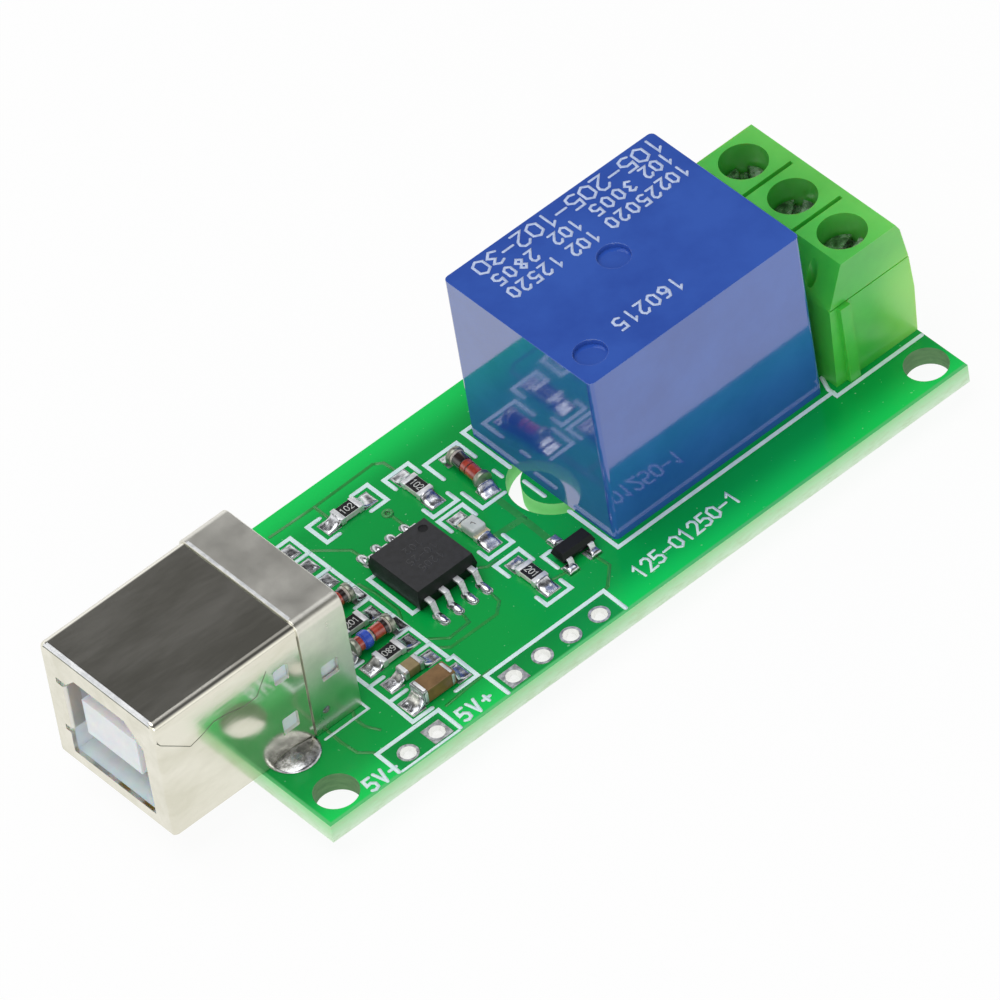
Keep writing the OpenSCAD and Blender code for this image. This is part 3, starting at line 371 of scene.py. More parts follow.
# Makes a piece of a finished mesh: its materials, shading and body
def addPiece(name, mesh, looks, body="board", stands=(), sharp=35, thick=0):
    data = bpy.data.meshes.new(name)
    mesh.to_mesh(data)
    mesh.free()
    piece = bpy.data.objects.new(name, data)
    scene.collection.objects.link(piece)
    for look in looks:
        data.materials.append(finishes[look])
    data.shade_smooth()
    data.set_sharp_from_angle(angle=math.radians(sharp))
    if thick:
        solid = piece.modifiers.new("thickness", "SOLIDIFY")
        solid.thickness = thick * mm
        solid.offset = 1
    piece.modifiers.new("even_shading", "WEIGHTED_NORMAL").keep_sharp = True
    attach(piece, body)
    if stands:
        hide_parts(*stands)
    return piece


merged = 0.0005  # closer than this a copy's corners become one, in mm
touch = 0.01  # closer than this two places count as the same
parallel = 0.8  # an edge with this share of its length along an axis counts as parallel to it
facing = 0.9  # a face whose normal has this share along an axis counts as turned that way


# A copy of a CAD node with its corners broken, as moulded and pressed parts have them
def softened(node, width, segments=2, corner=30, chosen=None, clamp=True):
    mesh = bmesh.new()
    mesh.from_mesh(nodes[node].data)
    bmesh.ops.remove_doubles(mesh, verts=mesh.verts, dist=merged * mm)
    bmesh.ops.dissolve_limit(mesh, angle_limit=math.radians(1), verts=mesh.verts, edges=mesh.edges)
    soften(mesh, width, segments, corner, chosen, clamp)
    return mesh


def soften(mesh, width, segments=2, corner=30, chosen=None, clamp=True):
    if width == 0:
        return
    edges = [
        edge for edge in mesh.edges
        if edge.is_manifold and abs(edge.calc_face_angle(0)) > math.radians(corner)
        and (chosen is None or chosen(edge))
    ]
    bmesh.ops.bevel(
        mesh, geom=edges, offset=width * mm, offset_type="OFFSET", segments=segments,
        profile=0.5, affect="EDGES", clamp_overlap=clamp, material=-1,
    )


def middleOf(edge):
    return (edge.verts[0].co + edge.verts[1].co) / 2


def isUpright(edge):
    run = edge.verts[1].co - edge.verts[0].co
    return abs(run.z) > parallel * run.length


def isTop(face):
    return face.normal.z > facing


# Board and pads: soft rims, holes of the header flared by the drill, one diode's pads turned with it
boardLook = {
    "edge": 0.05, "holeX": [7.85, 10.39, 17.2, 19.74, 22.28, 24.82], "holeY": 1.18,
    "holeReach": 0.56, "flare": 1.25, "ringReach": 0.82, "ring": 0.96,
    "diode": (27.5, 17.5), "padReach": (1.7, 3.2), "padTurn": -11,
}


def flareHoles(mesh):
    for vert in mesh.verts:
        for along in boardLook["holeX"]:
            centre = boardPoint(along, boardLook["holeY"])
            away = Vector((vert.co.x - centre.x, vert.co.y - centre.y))
            reach = away.length / mm
            if reach < boardLook["ringReach"]:
                scale = boardLook["flare"] if reach < boardLook["holeReach"] else boardLook["ring"]
                vert.co.x = centre.x + away.x * scale
                vert.co.y = centre.y + away.y * scale


board = softened("circuit_board", 0)
flareHoles(board)
soften(board, boardLook["edge"], 1, 60)
addPiece("board_soft", board, ["solder_mask"], stands=["circuit_board"])
pads = softened("plated_pads", 0)
flareHoles(pads)
padMiddle = boardPoint(*boardLook["diode"])
turnedPads = [
    vert for vert in pads.verts
    if abs(vert.co.x - padMiddle.x) < boardLook["padReach"][0] * mm
    and abs(vert.co.y - padMiddle.y) < boardLook["padReach"][1] * mm
]
padSpin = Matrix.Rotation(math.radians(boardLook["padTurn"]), 3, "Z")
bmesh.ops.rotate(pads, cent=padMiddle, matrix=padSpin, verts=turnedPads)
addPiece("pads_soft", pads, ["tinned_copper"], stands=["plated_pads"])

# Plated parts of the socket
socketLook = {
    "edge": 0.1, "rim": 0.3, "windowEdge": 0.1, "windowCorner": 0.18, "sheet": 1,
    "tab": (16.7, 17.1), "tabEdge": 0.25, "mouthAside": 1.2,
    "topTurn": 0.75, "sideTurn": 0.5, "lipTurn": 0.1, "lipHighlightTurn": 0.3,
}
# Side windows, [from, to] along and [from, to] up: as cut, then as pressed with their round corners
shellWindows = [
    [(2.1, 3.6), (6.9, 8.0), (2.3, 3.55), (6.65, 8.0)],
    [(2.2, 3.7), (2.55, 3.75), (2.3, 3.65), (2.0, 3.4)],
]
coverWindows = [[(5.9, 7.5), (4.45, 5.55), (5.95, 7.4), (4.3, 5.7)]]
shellLow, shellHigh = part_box("usb_shell")


def onShellFront(edge):
    return all(vert.co.x < shellLow.x + touch * mm for vert in edge.verts)


def atShellRim(edge):
    spot = middleOf(edge)
    inside = min(spot.y - shellLow.y, shellHigh.y - spot.y, shellHigh.z - spot.z)
    return onShellFront(edge) and inside < socketLook["rim"] * mm


def within(value, limits):
    return limits[0] - 2 * touch < value < limits[1] + 2 * touch


def carried(value, cut, now):
    share = (value - cut[0]) / (cut[1] - cut[0])
    return now[0] + share * (now[1] - now[0])


def pressWindows(mesh, windows):
    for alongCut, upCut, alongNow, upNow in windows:
        def inWindow(spot, alongLimits, upLimits):
            along = (spot.x - boardLow.x) / mm
            up = (spot.z - boardHigh.z) / mm
            return within(along, alongLimits) and within(up, upLimits)

        def throughSheet(edge):
            run = edge.verts[1].co - edge.verts[0].co
            inside = all(inWindow(vert.co, alongNow, upNow) for vert in edge.verts)
            return inside and abs(run.y) > parallel * run.length and run.length < socketLook["sheet"] * mm

        def outerRim(edge):
            inside = all(inWindow(vert.co, alongNow, upNow) for vert in edge.verts)
            sides = {round(vert.co.y / mm, 2) for vert in edge.verts}
            outward = abs(middleOf(edge).y - (shellLow.y + shellHigh.y) / 2)
            return inside and len(sides) == 1 and outward > (shellHigh.y - shellLow.y) / 2 - 5 * touch * mm

        for vert in mesh.verts:
            if inWindow(vert.co, alongCut, upCut):
                vert.co.x = boardLow.x + carried((vert.co.x - boardLow.x) / mm, alongCut, alongNow) * mm
                vert.co.z = boardHigh.z + carried((vert.co.z - boardHigh.z) / mm, upCut, upNow) * mm
        soften(mesh, socketLook["windowCorner"], 4, chosen=throughSheet)
        soften(mesh, socketLook["windowEdge"], 2, chosen=outerRim)


def atShellTab(edge):
    spot = (middleOf(edge).y - boardLow.y) / mm
    return onShellFront(edge) and isUpright(edge) and socketLook["tab"][0] < spot < socketLook["tab"][1]


shell = softened("usb_shell", socketLook["tabEdge"], 4, chosen=atShellTab, clamp=False)
soften(shell, socketLook["rim"], 5, chosen=atShellRim, clamp=False)
pressWindows(shell, shellWindows)
shellLooks = ["nickel_shell", "matt_nickel", "hazy_nickel", "matt_tin", "sheet_gap"]


# Bright on top, hazed on the upright faces, matt inside the mouth; the front lip's upper faces take the
# paler matt tin as a painted highlight, its lower faces the dark gap finish as a painted shadow
def shellLook(face):
    spot = face.calc_center_median()
    aside = min(spot.y - shellLow.y, shellHigh.y - spot.y)
    inward = spot.x > shellLow.x + 2 * touch * mm
    onTop = spot.z > shellHigh.z - socketLook["rim"] * mm
    across = abs(face.normal.y)
    forward = min(-face.normal.x, face.normal.z) > socketLook["lipTurn"] > across
    if onTop and forward:
        return "matt_tin" if face.normal.z > socketLook["lipHighlightTurn"] else "sheet_gap"
    if aside > socketLook["mouthAside"] * mm and inward and across > socketLook["sideTurn"]:
        return "matt_nickel"
    return "nickel_shell" if face.normal.z > socketLook["topTurn"] else "hazy_nickel"


for face in shell.faces:
    face.material_index = shellLooks.index(shellLook(face))
addPiece("socket_shell", shell, shellLooks, stands=["usb_shell"])


def nearShellTop(edge):
    return middleOf(edge).z > shellHigh.z - socketLook["sheet"] * mm


cover = softened("usb_rear_cover", socketLook["edge"], 3, chosen=nearShellTop)
pressWindows(cover, coverWindows)
for face in cover.faces:
    face.material_index = 1 if isTop(face) else 0
coverLooks = ["satin_nickel", "matt_nickel"]
addPiece("socket_rear_cover", cover, coverLooks, stands=["usb_rear_cover"])
print("socket made")

# Relay case
caseLook = {"upright": 0.4, "rim": 0.16, "dimple": 0.25, "deeper": 0.2, "sink": 0.05}
case = softened("relay_cover", caseLook["upright"], 4, chosen=isUpright)
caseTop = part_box("relay_cover")[1].z
for vert in case.verts:
    if abs(vert.co.z - caseTop + caseLook["dimple"] * mm) < 2 * touch * mm:
        vert.co.z -= caseLook["deeper"] * mm
    elif abs(vert.co.z - caseTop) < touch * mm:
        vert.co.z -= caseLook["sink"] * mm
caseTop -= caseLook["sink"] * mm


def onCaseTop(edge):
    return all(abs(vert.co.z - caseTop) < touch * mm for vert in edge.verts)


soften(case, caseLook["rim"], 3, chosen=onCaseTop)
addPiece("relay_case", case, ["blue_plastic"], stands=["relay_cover"])

# Screw terminal
terminalLook = {"edge": 0.12, "screwEdge": 0.16}
housing = softened("terminal_housing", terminalLook["edge"])
addPiece("terminal_block", housing, ["green_plastic"], stands=["terminal_housing"])
for way in (1, 2, 3):
    screw = softened(f"terminal_screw_{way}", terminalLook["screwEdge"])
    addPiece(f"screw_head_{way}", screw, ["zinc_steel"], f"screw_{way}", [f"terminal_screw_{way}"])
print("relay and terminal made")

# Moulded chips and their leads: [slot, broken edge, finish of the sides, finish of the top]
chipLook = {
    # the controller's sides take the blacker compound: painted shade on the sides
    "controller_body": ("black_moulding", 0.06, "black_compound", "black_moulding"),
    # the leads' tops take the paler matt tin and their sides the darker tin: partly a real matt top, partly
    # painted light on top and painted shade on the sides
    "controller_leads": ("tinned_copper", 0.04, "tinned_copper", "matt_tin"),
    "transistor_body": ("black_moulding", 0.12, "black_compound", "black_compound"),
    "transistor_leads": ("tinned_copper", 0.03, "matt_tin", "matt_tin"),
    "led_base": ("white_ceramic", 0.04, "white_ceramic", "white_ceramic"),
    "led_ends": ("tinned_copper", 0.05, "matt_tin", "cream_resist"),
    "small_capacitor": ("tan_ceramic", 0.08, "tan_ceramic", "tan_ceramic"),
    "large_capacitor": ("brown_ceramic", 0.08, "brown_ceramic", "brown_ceramic"),
    # the ends' tops take the paler matt tin and their sides the darker tin: partly a real matt top, partly
    # painted light on top and painted shade on the sides
    "small_capacitor_ends": ("tinned_copper", 0.22, "tinned_copper", "matt_tin"),
    "large_capacitor_ends": ("tinned_copper", 0.34, "tinned_copper", "matt_tin"),
}
roundedEnds = ("small_capacitor_ends", "large_capacitor_ends")
# Parts that sit a little off their pads' middle or are a little smaller than the rest of their kind
nudges = {"transistor_body": (0.25, -0.3), "transistor_leads": (0.25, -0.3)}
shrinks = {
    "small_capacitor": (0.88, 0.88, 0.9), "small_capacitor_ends": (0.88, 0.88, 0.9),
    "large_capacitor": (0.92, 0.88, 0.9), "large_capacitor_ends": (0.92, 0.88, 0.9),
}
bendLook = {"controller_leads": 0.09, "transistor_leads": 0.06}
bendLength = 0.3  # only the long edges across a lead are bends
endDepth = 0.05  # how far in from its end a cap's rim may lie


def atOuterEnd(part):
    low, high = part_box(part)
    middle = (low.x + high.x) / 2
    reach = (high.x - low.x) / 2 - endDepth * mm
    return lambda edge: any(abs(vert.co.x - middle) > reach for vert in edge.verts)


def isBend(edge):
    run = edge.verts[1].co - edge.verts[0].co
    return abs(run.x) > parallel * run.length and edge.calc_length() > bendLength * mm


for part, (slotName, width, side, top) in chipLook.items():
    if part in bendLook:
        chip = softened(part, bendLook[part], 4, 20, isBend)
        soften(chip, width, 2, 60)
    elif part in roundedEnds:
        chip = softened(part, width, 4, chosen=atOuterEnd(part), clamp=False)
    else:
        chip = softened(part, width, 4)
    if part in nudges:
        bmesh.ops.translate(chip, vec=(nudges[part][0] * mm, nudges[part][1] * mm, 0), verts=chip.verts)
    if part in shrinks:
        low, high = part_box(part)
        foot = Matrix.Translation((-(low.x + high.x) / 2, -(low.y + high.y) / 2, -boardHigh.z))
        bmesh.ops.scale(chip, vec=shrinks[part], space=foot, verts=chip.verts)
    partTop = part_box(part)[1].z
    # The top finish goes on faces turned up. Where it is paler than the side finish, the tops carry painted
    # light and the sides painted shade.
    for face in chip.faces:
        inMark = part == "controller_body" and face.calc_center_median().z < partTop - 2 * touch * mm
        face.material_index = 1 if isTop(face) and not inMark else 0
    addPiece(part + "_soft", chip, [side, top], stands=[part])

# Chip resistors: white ceramic with a black glaze on top; their value is printed further down
resistorLook = {
    "edge": 0.03, "endEdge": 0.06, "looks": ["white_ceramic", "black_glaze"],
    "marks": {1: ("102", 0), 2: ("102", -90), 3: ("201", -90), 4: ("201", 0), 5: ("680", 180)},
}
for number in resistorLook["marks"]:
    body = softened(f"resistor_{number}", resistorLook["edge"], 1)
    for face in body.faces:
        face.material_index = 1 if isTop(face) else 0
    bodyName = f"resistor_body_{number}"
    addPiece(bodyName, body, resistorLook["looks"], stands=[f"resistor_{number}"])
    ends = softened(f"resistor_ends_{number}", resistorLook["endEdge"])
    endsName = f"resistor_caps_{number}"
    addPiece(endsName, ends, ["matt_tin"], stands=[f"resistor_ends_{number}"])

# Light-emitting diode's lens: a low block, well rounded above
lensLook = {"scale": (1.04, 1.18, 0.68), "edge": 0.2, "foot": 0.1}
lensLow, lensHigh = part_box("led_lens")
lensSize = Vector(scale * reach for scale, reach in zip(lensLook["scale"], lensHigh - lensLow))
lensMiddle = (lensLow + lensHigh) / 2
lensMiddle.z = lensLow.z + lensSize.z / 2
lens = bmesh.new()
bmesh.ops.create_cube(lens, size=1)
bmesh.ops.scale(lens, vec=lensSize, verts=lens.verts)
bmesh.ops.translate(lens, vec=lensMiddle, verts=lens.verts)


def aboveLensFoot(edge):
    return middleOf(edge).z > lensLow.z + lensLook["foot"] * mm


soften(lens, lensLook["edge"], 4, chosen=aboveLensFoot)
addPiece("led_dome", lens, ["clear_lens"], stands=["led_lens"])

# Glass diodes, turned along their own axis: [to this share of the length, finish, radius]
diodeLook = {
    "length": 3.5, "capLength": 0.42, "capBevel": 0.09, "steps": 40, "step": 0.01, "hidden": 0.02,
    "glass": {
        1: [(0.4, "red_glass", 0.52), (0.44, "dark_glass", 0.47), (0.62, "red_glass", 0.52),
            (0.94, "dark_glass", 0.58), (1, "pale_glass", 0.62)],
        2: [(0.8, "red_glass", 0.52), (0.93, "dark_glass", 0.58), (1, "pale_glass", 0.62)],
        3: [(0.16, "red_glass", 0.54), (0.2, "blue_band", 0.6), (0.38, "blue_band", 0.67),
            (0.42, "blue_band", 0.6), (0.5, "pale_glass", 0.46), (0.53, "dark_glass", 0.46),
            (0.84, "red_glass", 0.52), (0.95, "dark_glass", 0.58), (1, "pale_glass", 0.62)],
    },
    "turn": {1: 86, 2: 0, 3: 0},
}


def turned(profile, steps):
    mesh = bmesh.new()
    points = [mesh.verts.new((x * mm, 0, radius * mm)) for x, radius in profile]
    lines = [mesh.edges.new(pair) for pair in zip(points, points[1:])]
    bmesh.ops.spin(
        mesh, geom=points + lines, cent=(0, 0, 0), axis=(1, 0, 0), dvec=(0, 0, 0),
        angle=2 * math.pi, steps=steps, use_merge=True,
    )
    bmesh.ops.remove_doubles(mesh, verts=mesh.verts, dist=2 * merged * mm)
    bmesh.ops.recalc_face_normals(mesh, faces=mesh.faces)
    return mesh


def setDown(mesh, centre, turn):
    spin = Matrix.Rotation(math.radians(turn), 3, "Z")
    bmesh.ops.rotate(mesh, cent=(0, 0, 0), matrix=spin, verts=mesh.verts)
    bmesh.ops.translate(mesh, vec=centre, verts=mesh.verts)


def capProfile(length, radius, bevel):
    waist = 0.3 * bevel
    return [
        (-length, 0), (-length, radius - bevel), (-length + waist, radius - waist),
        (-length + bevel, radius), (-bevel, radius), (-waist, radius - waist), (0, radius - bevel), (0, 0),
    ]


for number, bands in diodeLook["glass"].items():
    low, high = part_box(f"diode_ends_{number}")
    centre = (low + high) / 2
    radius = (high.z - low.z) / 2 / mm
    length = diodeLook["length"]
    cap = diodeLook["capLength"]
    inner = length / 2 - cap
    caps = turned(capProfile(cap, radius, diodeLook["capBevel"]), diodeLook["steps"])
    bmesh.ops.translate(caps, vec=(length / 2 * mm, 0, 0), verts=caps.verts)
    twin = bmesh.ops.duplicate(caps, geom=caps.verts[:] + caps.edges[:] + caps.faces[:])["geom"]
    twinVerts = [item for item in twin if isinstance(item, bmesh.types.BMVert)]
    bmesh.ops.rotate(caps, cent=(0, 0, 0), matrix=Matrix.Rotation(math.pi, 3, "Z"), verts=twinVerts)
    setDown(caps, centre, diodeLook["turn"][number])
    stands = [f"diode_ends_{number}"]
    addPiece(f"diode_caps_{number}", caps, ["dull_tin"], stands=stands)
    profile = [(-inner - diodeLook["hidden"], 0)]
    start = 0
    for share, finish, wide in bands:
        for stop in (start + diodeLook["step"], share):
            profile.append((-inner + stop * 2 * inner, wide))
        start = share
    profile.append((inner + diodeLook["hidden"], 0))
    tube = turned(profile, diodeLook["steps"])
    names = sorted({finish for share, finish, wide in bands})
    for face in tube.faces:
        along = (face.calc_center_median().x / mm + inner) / (2 * inner)
        finish = next((finish for share, finish, wide in bands if along < share), bands[-1][1])
        face.material_index = names.index(finish)
    setDown(tube, centre, diodeLook["turn"][number])
    addPiece(f"diode_tube_{number}", tube, names, stands=[f"diode_glass_{number}"])
print("chips made")


roundEnd = [math.sin(turn * math.pi / 2) for turn in (0.15, 0.35, 0.65)]  # half widths at a stroke's end
mitreLimit = 0.5
climb = 0.4  # a path's rise from corner to corner, against the gap between paths
hair = 0.001  # a print's lift off its face, in mm


# A flat stroke: its first edge is extruded along the path, mitred at corners, round at both ends
def addStroke(mesh, path, width):
    half = width / 2
    last = len(path) - 1
    sections = []
    for index, point in enumerate(path):
        before = (point - path[index - 1]).normalized() if index else None
        after = (path[index + 1] - point).normalized() if index < last else None
        heading = ((before or after) + (after or before)).normalized()
        reach = half / max(mitreLimit, heading.dot(before or after))
        if index == 0:
            for wide in roundEnd:
                sections.append((point - after * half * math.sqrt(1 - wide ** 2), heading, half * wide))
        sections.append((point, heading, reach))
        if index == last:
            for wide in reversed(roundEnd):
                sections.append((point + before * half * math.sqrt(1 - wide ** 2), heading, half * wide))
    edge = None
    for spot, heading, reach in sections:
        side = Vector((-heading.y, heading.x, 0)) * reach
        if edge is None:
            edge = mesh.edges.new((mesh.verts.new(spot - side), mesh.verts.new(spot + side)))
            continue
        left, right = edge.verts
        grown = bmesh.ops.extrude_edge_only(mesh, edges=[edge])["geom"]
        newVerts = [item for item in grown if isinstance(item, bmesh.types.BMVert)]
        edge = next(item for item in grown if isinstance(item, bmesh.types.BMEdge))
        nearLeft = min(newVerts, key=lambda vert: (vert.co - left.co).length)
        nearRight = next(vert for vert in newVerts if vert is not nearLeft)
        nearLeft.co = spot - side
        nearRight.co = spot + side
        edge = mesh.edges.get((nearLeft, nearRight))


def turnUp(mesh):
    bmesh.ops.recalc_face_normals(mesh, faces=mesh.faces)
    for face in mesh.faces:
        if face.normal.z < 0:
            face.normal_flip()


# A piece of strokes. Each path lies a hair higher than the last and climbs a little as it goes, so that
# no two surfaces share a plane where paths cross
def addStrokes(name, paths, look):
    sheet = bmesh.new()
    for index, path in enumerate(paths):
        spots = [
            boardPoint(x, y, look["lift"] + look["apart"] * (index + climb * step))
            for step, (x, y) in enumerate(path)
        ]
        addStroke(sheet, spots, look["width"] * mm)
    turnUp(sheet)
    addPiece(name, sheet, [look["finish"]], thick=look["thick"])


# Legend on the board, in millimetres on its top face
legendLook = {
    "width": 0.32, "lift": 0.003, "apart": 0.0005, "thick": 0.02,
    "slot": "white_plastic", "finish": "legend_ink",
}
# [centre, half length, half width, arms at the far end, arms at the near end, lies along x]
chipMarks = [
    [(24.30, 18.93), 2.58, 1.08, 1.25, 1.02, False],
    [(24.25, 13.20), 2.60, 1.08, 1.40, 1.00, False],
    [(24.10, 7.13), 2.68, 1.08, 1.45, 1.08, False],
    [(19.50, 21.00), 2.68, 1.05, 1.42, 1.10, True],
]


def bracketPair(centre, halfLong, halfWide, farArm, nearArm, alongX):
    paths = []
    for sign, arm in ((1, farArm), (-1, nearArm)):
        corners = [
            (-halfWide, sign * (halfLong - arm)), (-halfWide, sign * halfLong),
            (halfWide, sign * halfLong), (halfWide, sign * (halfLong - arm)),
        ]
        paths.append([
            (centre[0] + (long if alongX else wide), centre[1] + (wide if alongX else long))
            for wide, long in corners
        ])
    return paths


# The comb of lines round the column of small chips
comb = {
    "sides": [(15.36, -1.25), (9.98, 1.25)],
    "rows": [22.15, 20.15, 18.0, 15.95, 13.9, 11.75, 9.8, 7.65, 5.6],
}
legend = [path for mark in chipMarks for path in bracketPair(*mark)]
for x, tooth in comb["sides"]:
    top, *rows, foot = comb["rows"]
    legend.append([(x + tooth, top), (x, top), (x, foot)])
    legend += [[(x, row), (x + tooth, row)] for row in rows]
legend += [
    [(26.03, 18.52), (26.03, 20.5), (28.87, 20.5), (28.87, 18.52)],
    [(26.03, 16.6), (26.03, 14.5), (28.02, 14.5)],
    [(28.87, 15.75), (28.87, 16.6)],
    [(15.2, 5.6), (15.68, 5.6), (15.62, 3.06), (13.7, 3.06)],
    [(11.5, 5.6), (9.98, 5.6), (9.88, 3.06), (11.6, 3.06)],
    [(16.95, 15.21), (16.45, 15.21), (16.4, 10.62), (16.9, 10.62)],
    [(21.5, 15.21), (21.95, 15.21), (21.95, 10.62), (21.5, 10.62)],
    [(26.49, 8.05), (25.78, 8.05), (25.78, 6.5)],
    [(6.29, 0.3), (6.33, 2.62), (11.75, 2.62), (11.7, 0.3)],
    [(15.94, 0.3), (15.94, 2.6), (26.44, 2.6), (26.4, 0.3)],
    [(29.8, 9.9), (29.8, 4.9), (49.3, 4.9)],
    [(29.8, 16.0), (29.8, 20.9), (49.3, 20.9)],
    [(29.6, 12.2), (29.6, 14.3)],
    [(49.7, 6.48), (49.25, 5.33), (49.25, 4.42), (57.0, 4.42)],
    [(49.25, 20.3), (57.0, 20.3)],
    [(6.2, 23.9), (11.5, 23.9)],
]

# Plain strokes for numbers and signs, on a grid 1 wide and 2 high
figures = {
    "0": [[(0.5, 0), (1, 0.4), (1, 1.6), (0.5, 2), (0, 1.6), (0, 0.4), (0.5, 0)]],
    "1": [[(0.15, 1.55), (0.55, 2), (0.55, 0)]],
    "2": [[(0, 1.6), (0.3, 2), (0.75, 2), (1, 1.6), (0.9, 1.1), (0, 0), (1, 0)]],
    "3": [[(0.05, 1.75), (0.5, 2), (0.95, 1.6), (0.5, 1.1), (1, 0.6), (0.5, 0), (0, 0.3)]],
    "5": [[(0.95, 2), (0.1, 2), (0, 1.1), (0.6, 1.2), (1, 0.8), (0.9, 0.2), (0.4, 0), (0, 0.2)]],
    "6": [
        [(0.9, 1.9), (0.4, 1.9), (0, 1.2), (0, 0.4), (0.5, 0), (1, 0.4), (0.9, 1), (0.4, 1.15), (0, 0.8)],
    ],
    "8": [
        [(0.5, 1.05), (0.05, 1.5), (0.5, 2), (0.95, 1.5), (0.5, 1.05)],
        [(0.5, 1.05), (0, 0.5), (0.5, 0), (1, 0.5), (0.5, 1.05)],
    ],
    "V": [[(0, 2), (0.5, 0)], [(0.5, 0), (1, 2)]],
    "+": [[(0, 1), (1, 1)], [(0.5, 0.5), (0.5, 1.5)]],
    "-": [[(0, 1), (1, 1)]],
}


# Words of these figures: where the middle is, how high, how wide each, which way up
def figurePaths(text, centre, height, spacing, turn, wide=1):
    unit = height / 2
    paths = []
    start = -(len(text) - 1) / 2 * spacing - 0.5 * unit * wide
    spin = Matrix.Rotation(math.radians(turn), 2)
    for index, sign in enumerate(text):
        for stroke in figures[sign]:
            path = []
            for x, y in stroke:
                spot = spin @ Vector((start + index * spacing + x * unit * wide, (y - 1) * unit))
                path.append((centre[0] + spot.x, centre[1] + spot.y))
            paths.append(path)
    return paths


# [figures, middle, height, spacing, turn]
supplySigns = [["5V-", (5.25, 0.85), 1.2, 0.95, 0], ["5V+", (13.65, 1.05), 1.2, 1.0, 0]]
thinSigns = [["125-01250-1", (33.65, 2.4), 1.25, 0.88, 3]]
thinLines = [[(6.5, 0.2), (11.5, 0.2)], [(4.9, 6.22), (8.68, 6.22), (8.69, 7.11)]]


def signPaths(signs):
    return [path for sign in signs for path in figurePaths(*sign)]


addStrokes("legend_lines", legend, legendLook)
addStrokes("supply_signs", signPaths(supplySigns), {**legendLook, "width": 0.25})
addStrokes("thin_signs", signPaths(thinSigns) + thinLines, {**legendLook, "width": 0.2})

# Copper tracks under the mask, which stand up a little, and the masked ring of the via
trackLook = {
    "width": 0.24, "lift": 0, "apart": 0.0005, "thick": 0.012,
    "slot": "solder_mask", "finish": "masked_track",
}
wideTrackLook = {**trackLook, "width": 0.55, "thick": 0.006}
viaLook = {**trackLook, "width": 0.22, "lift": 0.052, "place": (21.35, 18.95), "radius": 0.31, "steps": 24}
tracks = [
    [(14.5, 23.25), (18.4, 23.15), (23.7, 23.25), (24.3, 22.8), (24.35, 21.5)],
    [(18.39, 23.14), (18.37, 21.8)],
    [(15.6, 20.15), (17.45, 18.2), (17.5, 17.0)],
    [(21.4, 18.95), (21.4, 17.4)],
    [(15.7, 15.4), (15.95, 14.0), (15.95, 11.6), (15.5, 10.7)],
    [(22.1, 10.6), (22.66, 10.12), (23.5, 10.14)],
    [(18.59, 7.9), (18.45, 7.2), (16.6, 7.06), (15.6, 8.05)],
    [(21.17, 7.9), (21.1, 7.15), (20.2, 6.35), (16.1, 6.36), (15.6, 6.9)],
    [(28.2, 5.6), (28.32, 4.1), (26.9, 2.7), (26.4, 2.6)],
    [(24.9, 5.95), (25.8, 5.8)],
    [(16.5, 2.82), (14.8, 2.75), (12.4, 2.53)],
    [(8.0, 7.2), (7.5, 6.2), (7.44, 5.19), (7.94, 4.18)],
    [(5.53, 6.98), (5.44, 5.23), (5.56, 3.71), (6.34, 2.86)],
]
wideTracks = [
    [(27.3, 15.6), (27.25, 11.75), (27.15, 8.9)],
    [(27.25, 11.75), (25.0, 11.9)],
]
viaX, viaY = viaLook["place"]
viaRing = []
for step in range(viaLook["steps"] + 1):
    turn = 2 * math.pi * step / viaLook["steps"]
    viaRing.append((viaX + viaLook["radius"] * math.cos(turn), viaY + viaLook["radius"] * math.sin(turn)))
addStrokes("masked_tracks", tracks, trackLook)
addStrokes("masked_wide_tracks", wideTracks, wideTrackLook)
addStrokes("masked_via_ring", [viaRing], viaLook)


# How high a part's top lies over the board, and where its middle is, both in mm
def topOf(part):
    return (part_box(part)[1].z - boardHigh.z) / mm


def placeOf(part):
    low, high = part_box(part)
    middle = ((low + high) / 2 - boardLow) / mm
    return middle.x, middle.y


# Values on the resistors
valueLook = {
    "width": 0.06, "apart": 0.0005, "thick": 0.008, "slot": "white_plastic", "finish": "pale_print",
    "height": 0.52, "spacing": 0.36,
}
for number, (figuresOn, turn) in resistorLook["marks"].items():
    part = f"resistor_{number}"
    paths = figurePaths(figuresOn, placeOf(part), valueLook["height"], valueLook["spacing"], turn)
    addStrokes(f"resistor_value_{number}", paths, {**valueLook, "lift": topOf(part) + 2 * hair})

# The die and its wire, seen through the lens
dieLook = {
    "width": 0.06, "apart": 0.0005, "thick": 0.002, "slot": "clear_lens", "finish": "dark_glass",
    "lift": (lensLow.z + lensSize.z - boardHigh.z) / mm + hair,
    "path": [(-0.16, 0.02), (-0.04, 0.1), (0.04, -0.22)],
}
dieX, dieY = placeOf("led_lens")
addStrokes("led_die", [[(dieX + x, dieY + y) for x, y in dieLook["path"]]], dieLook)

# Faint numbers on the controller
chipSign = {
    "width": 0.08, "apart": 0.0001, "thick": 0.002, "slot": "white_plastic", "finish": "laser_mark",
    "lift": topOf("controller_body") + hair,
    "rows": [("1205", 0.95), ("10-25", 0.0), ("102", -0.95)], "aside": 0.1, "height": 0.62, "spacing": 0.52,
}
chipX, chipY = placeOf("controller_body")
chipSigns = [
    [signs, (chipX + chipSign["aside"], chipY - up), chipSign["height"], chipSign["spacing"], 180]
    for signs, up in chipSign["rows"]
]
addStrokes("controller_mark", signPaths(chipSigns), chipSign)

# Print on the relay: rows of plain numbers, which read from the far side
printLook = {
    "width": 0.2, "apart": 0.0002, "thick": 0.01, "slot": "white_plastic", "finish": "pad_print",
    "lift": (caseTop - boardHigh.z) / mm + 2 * hair,
}
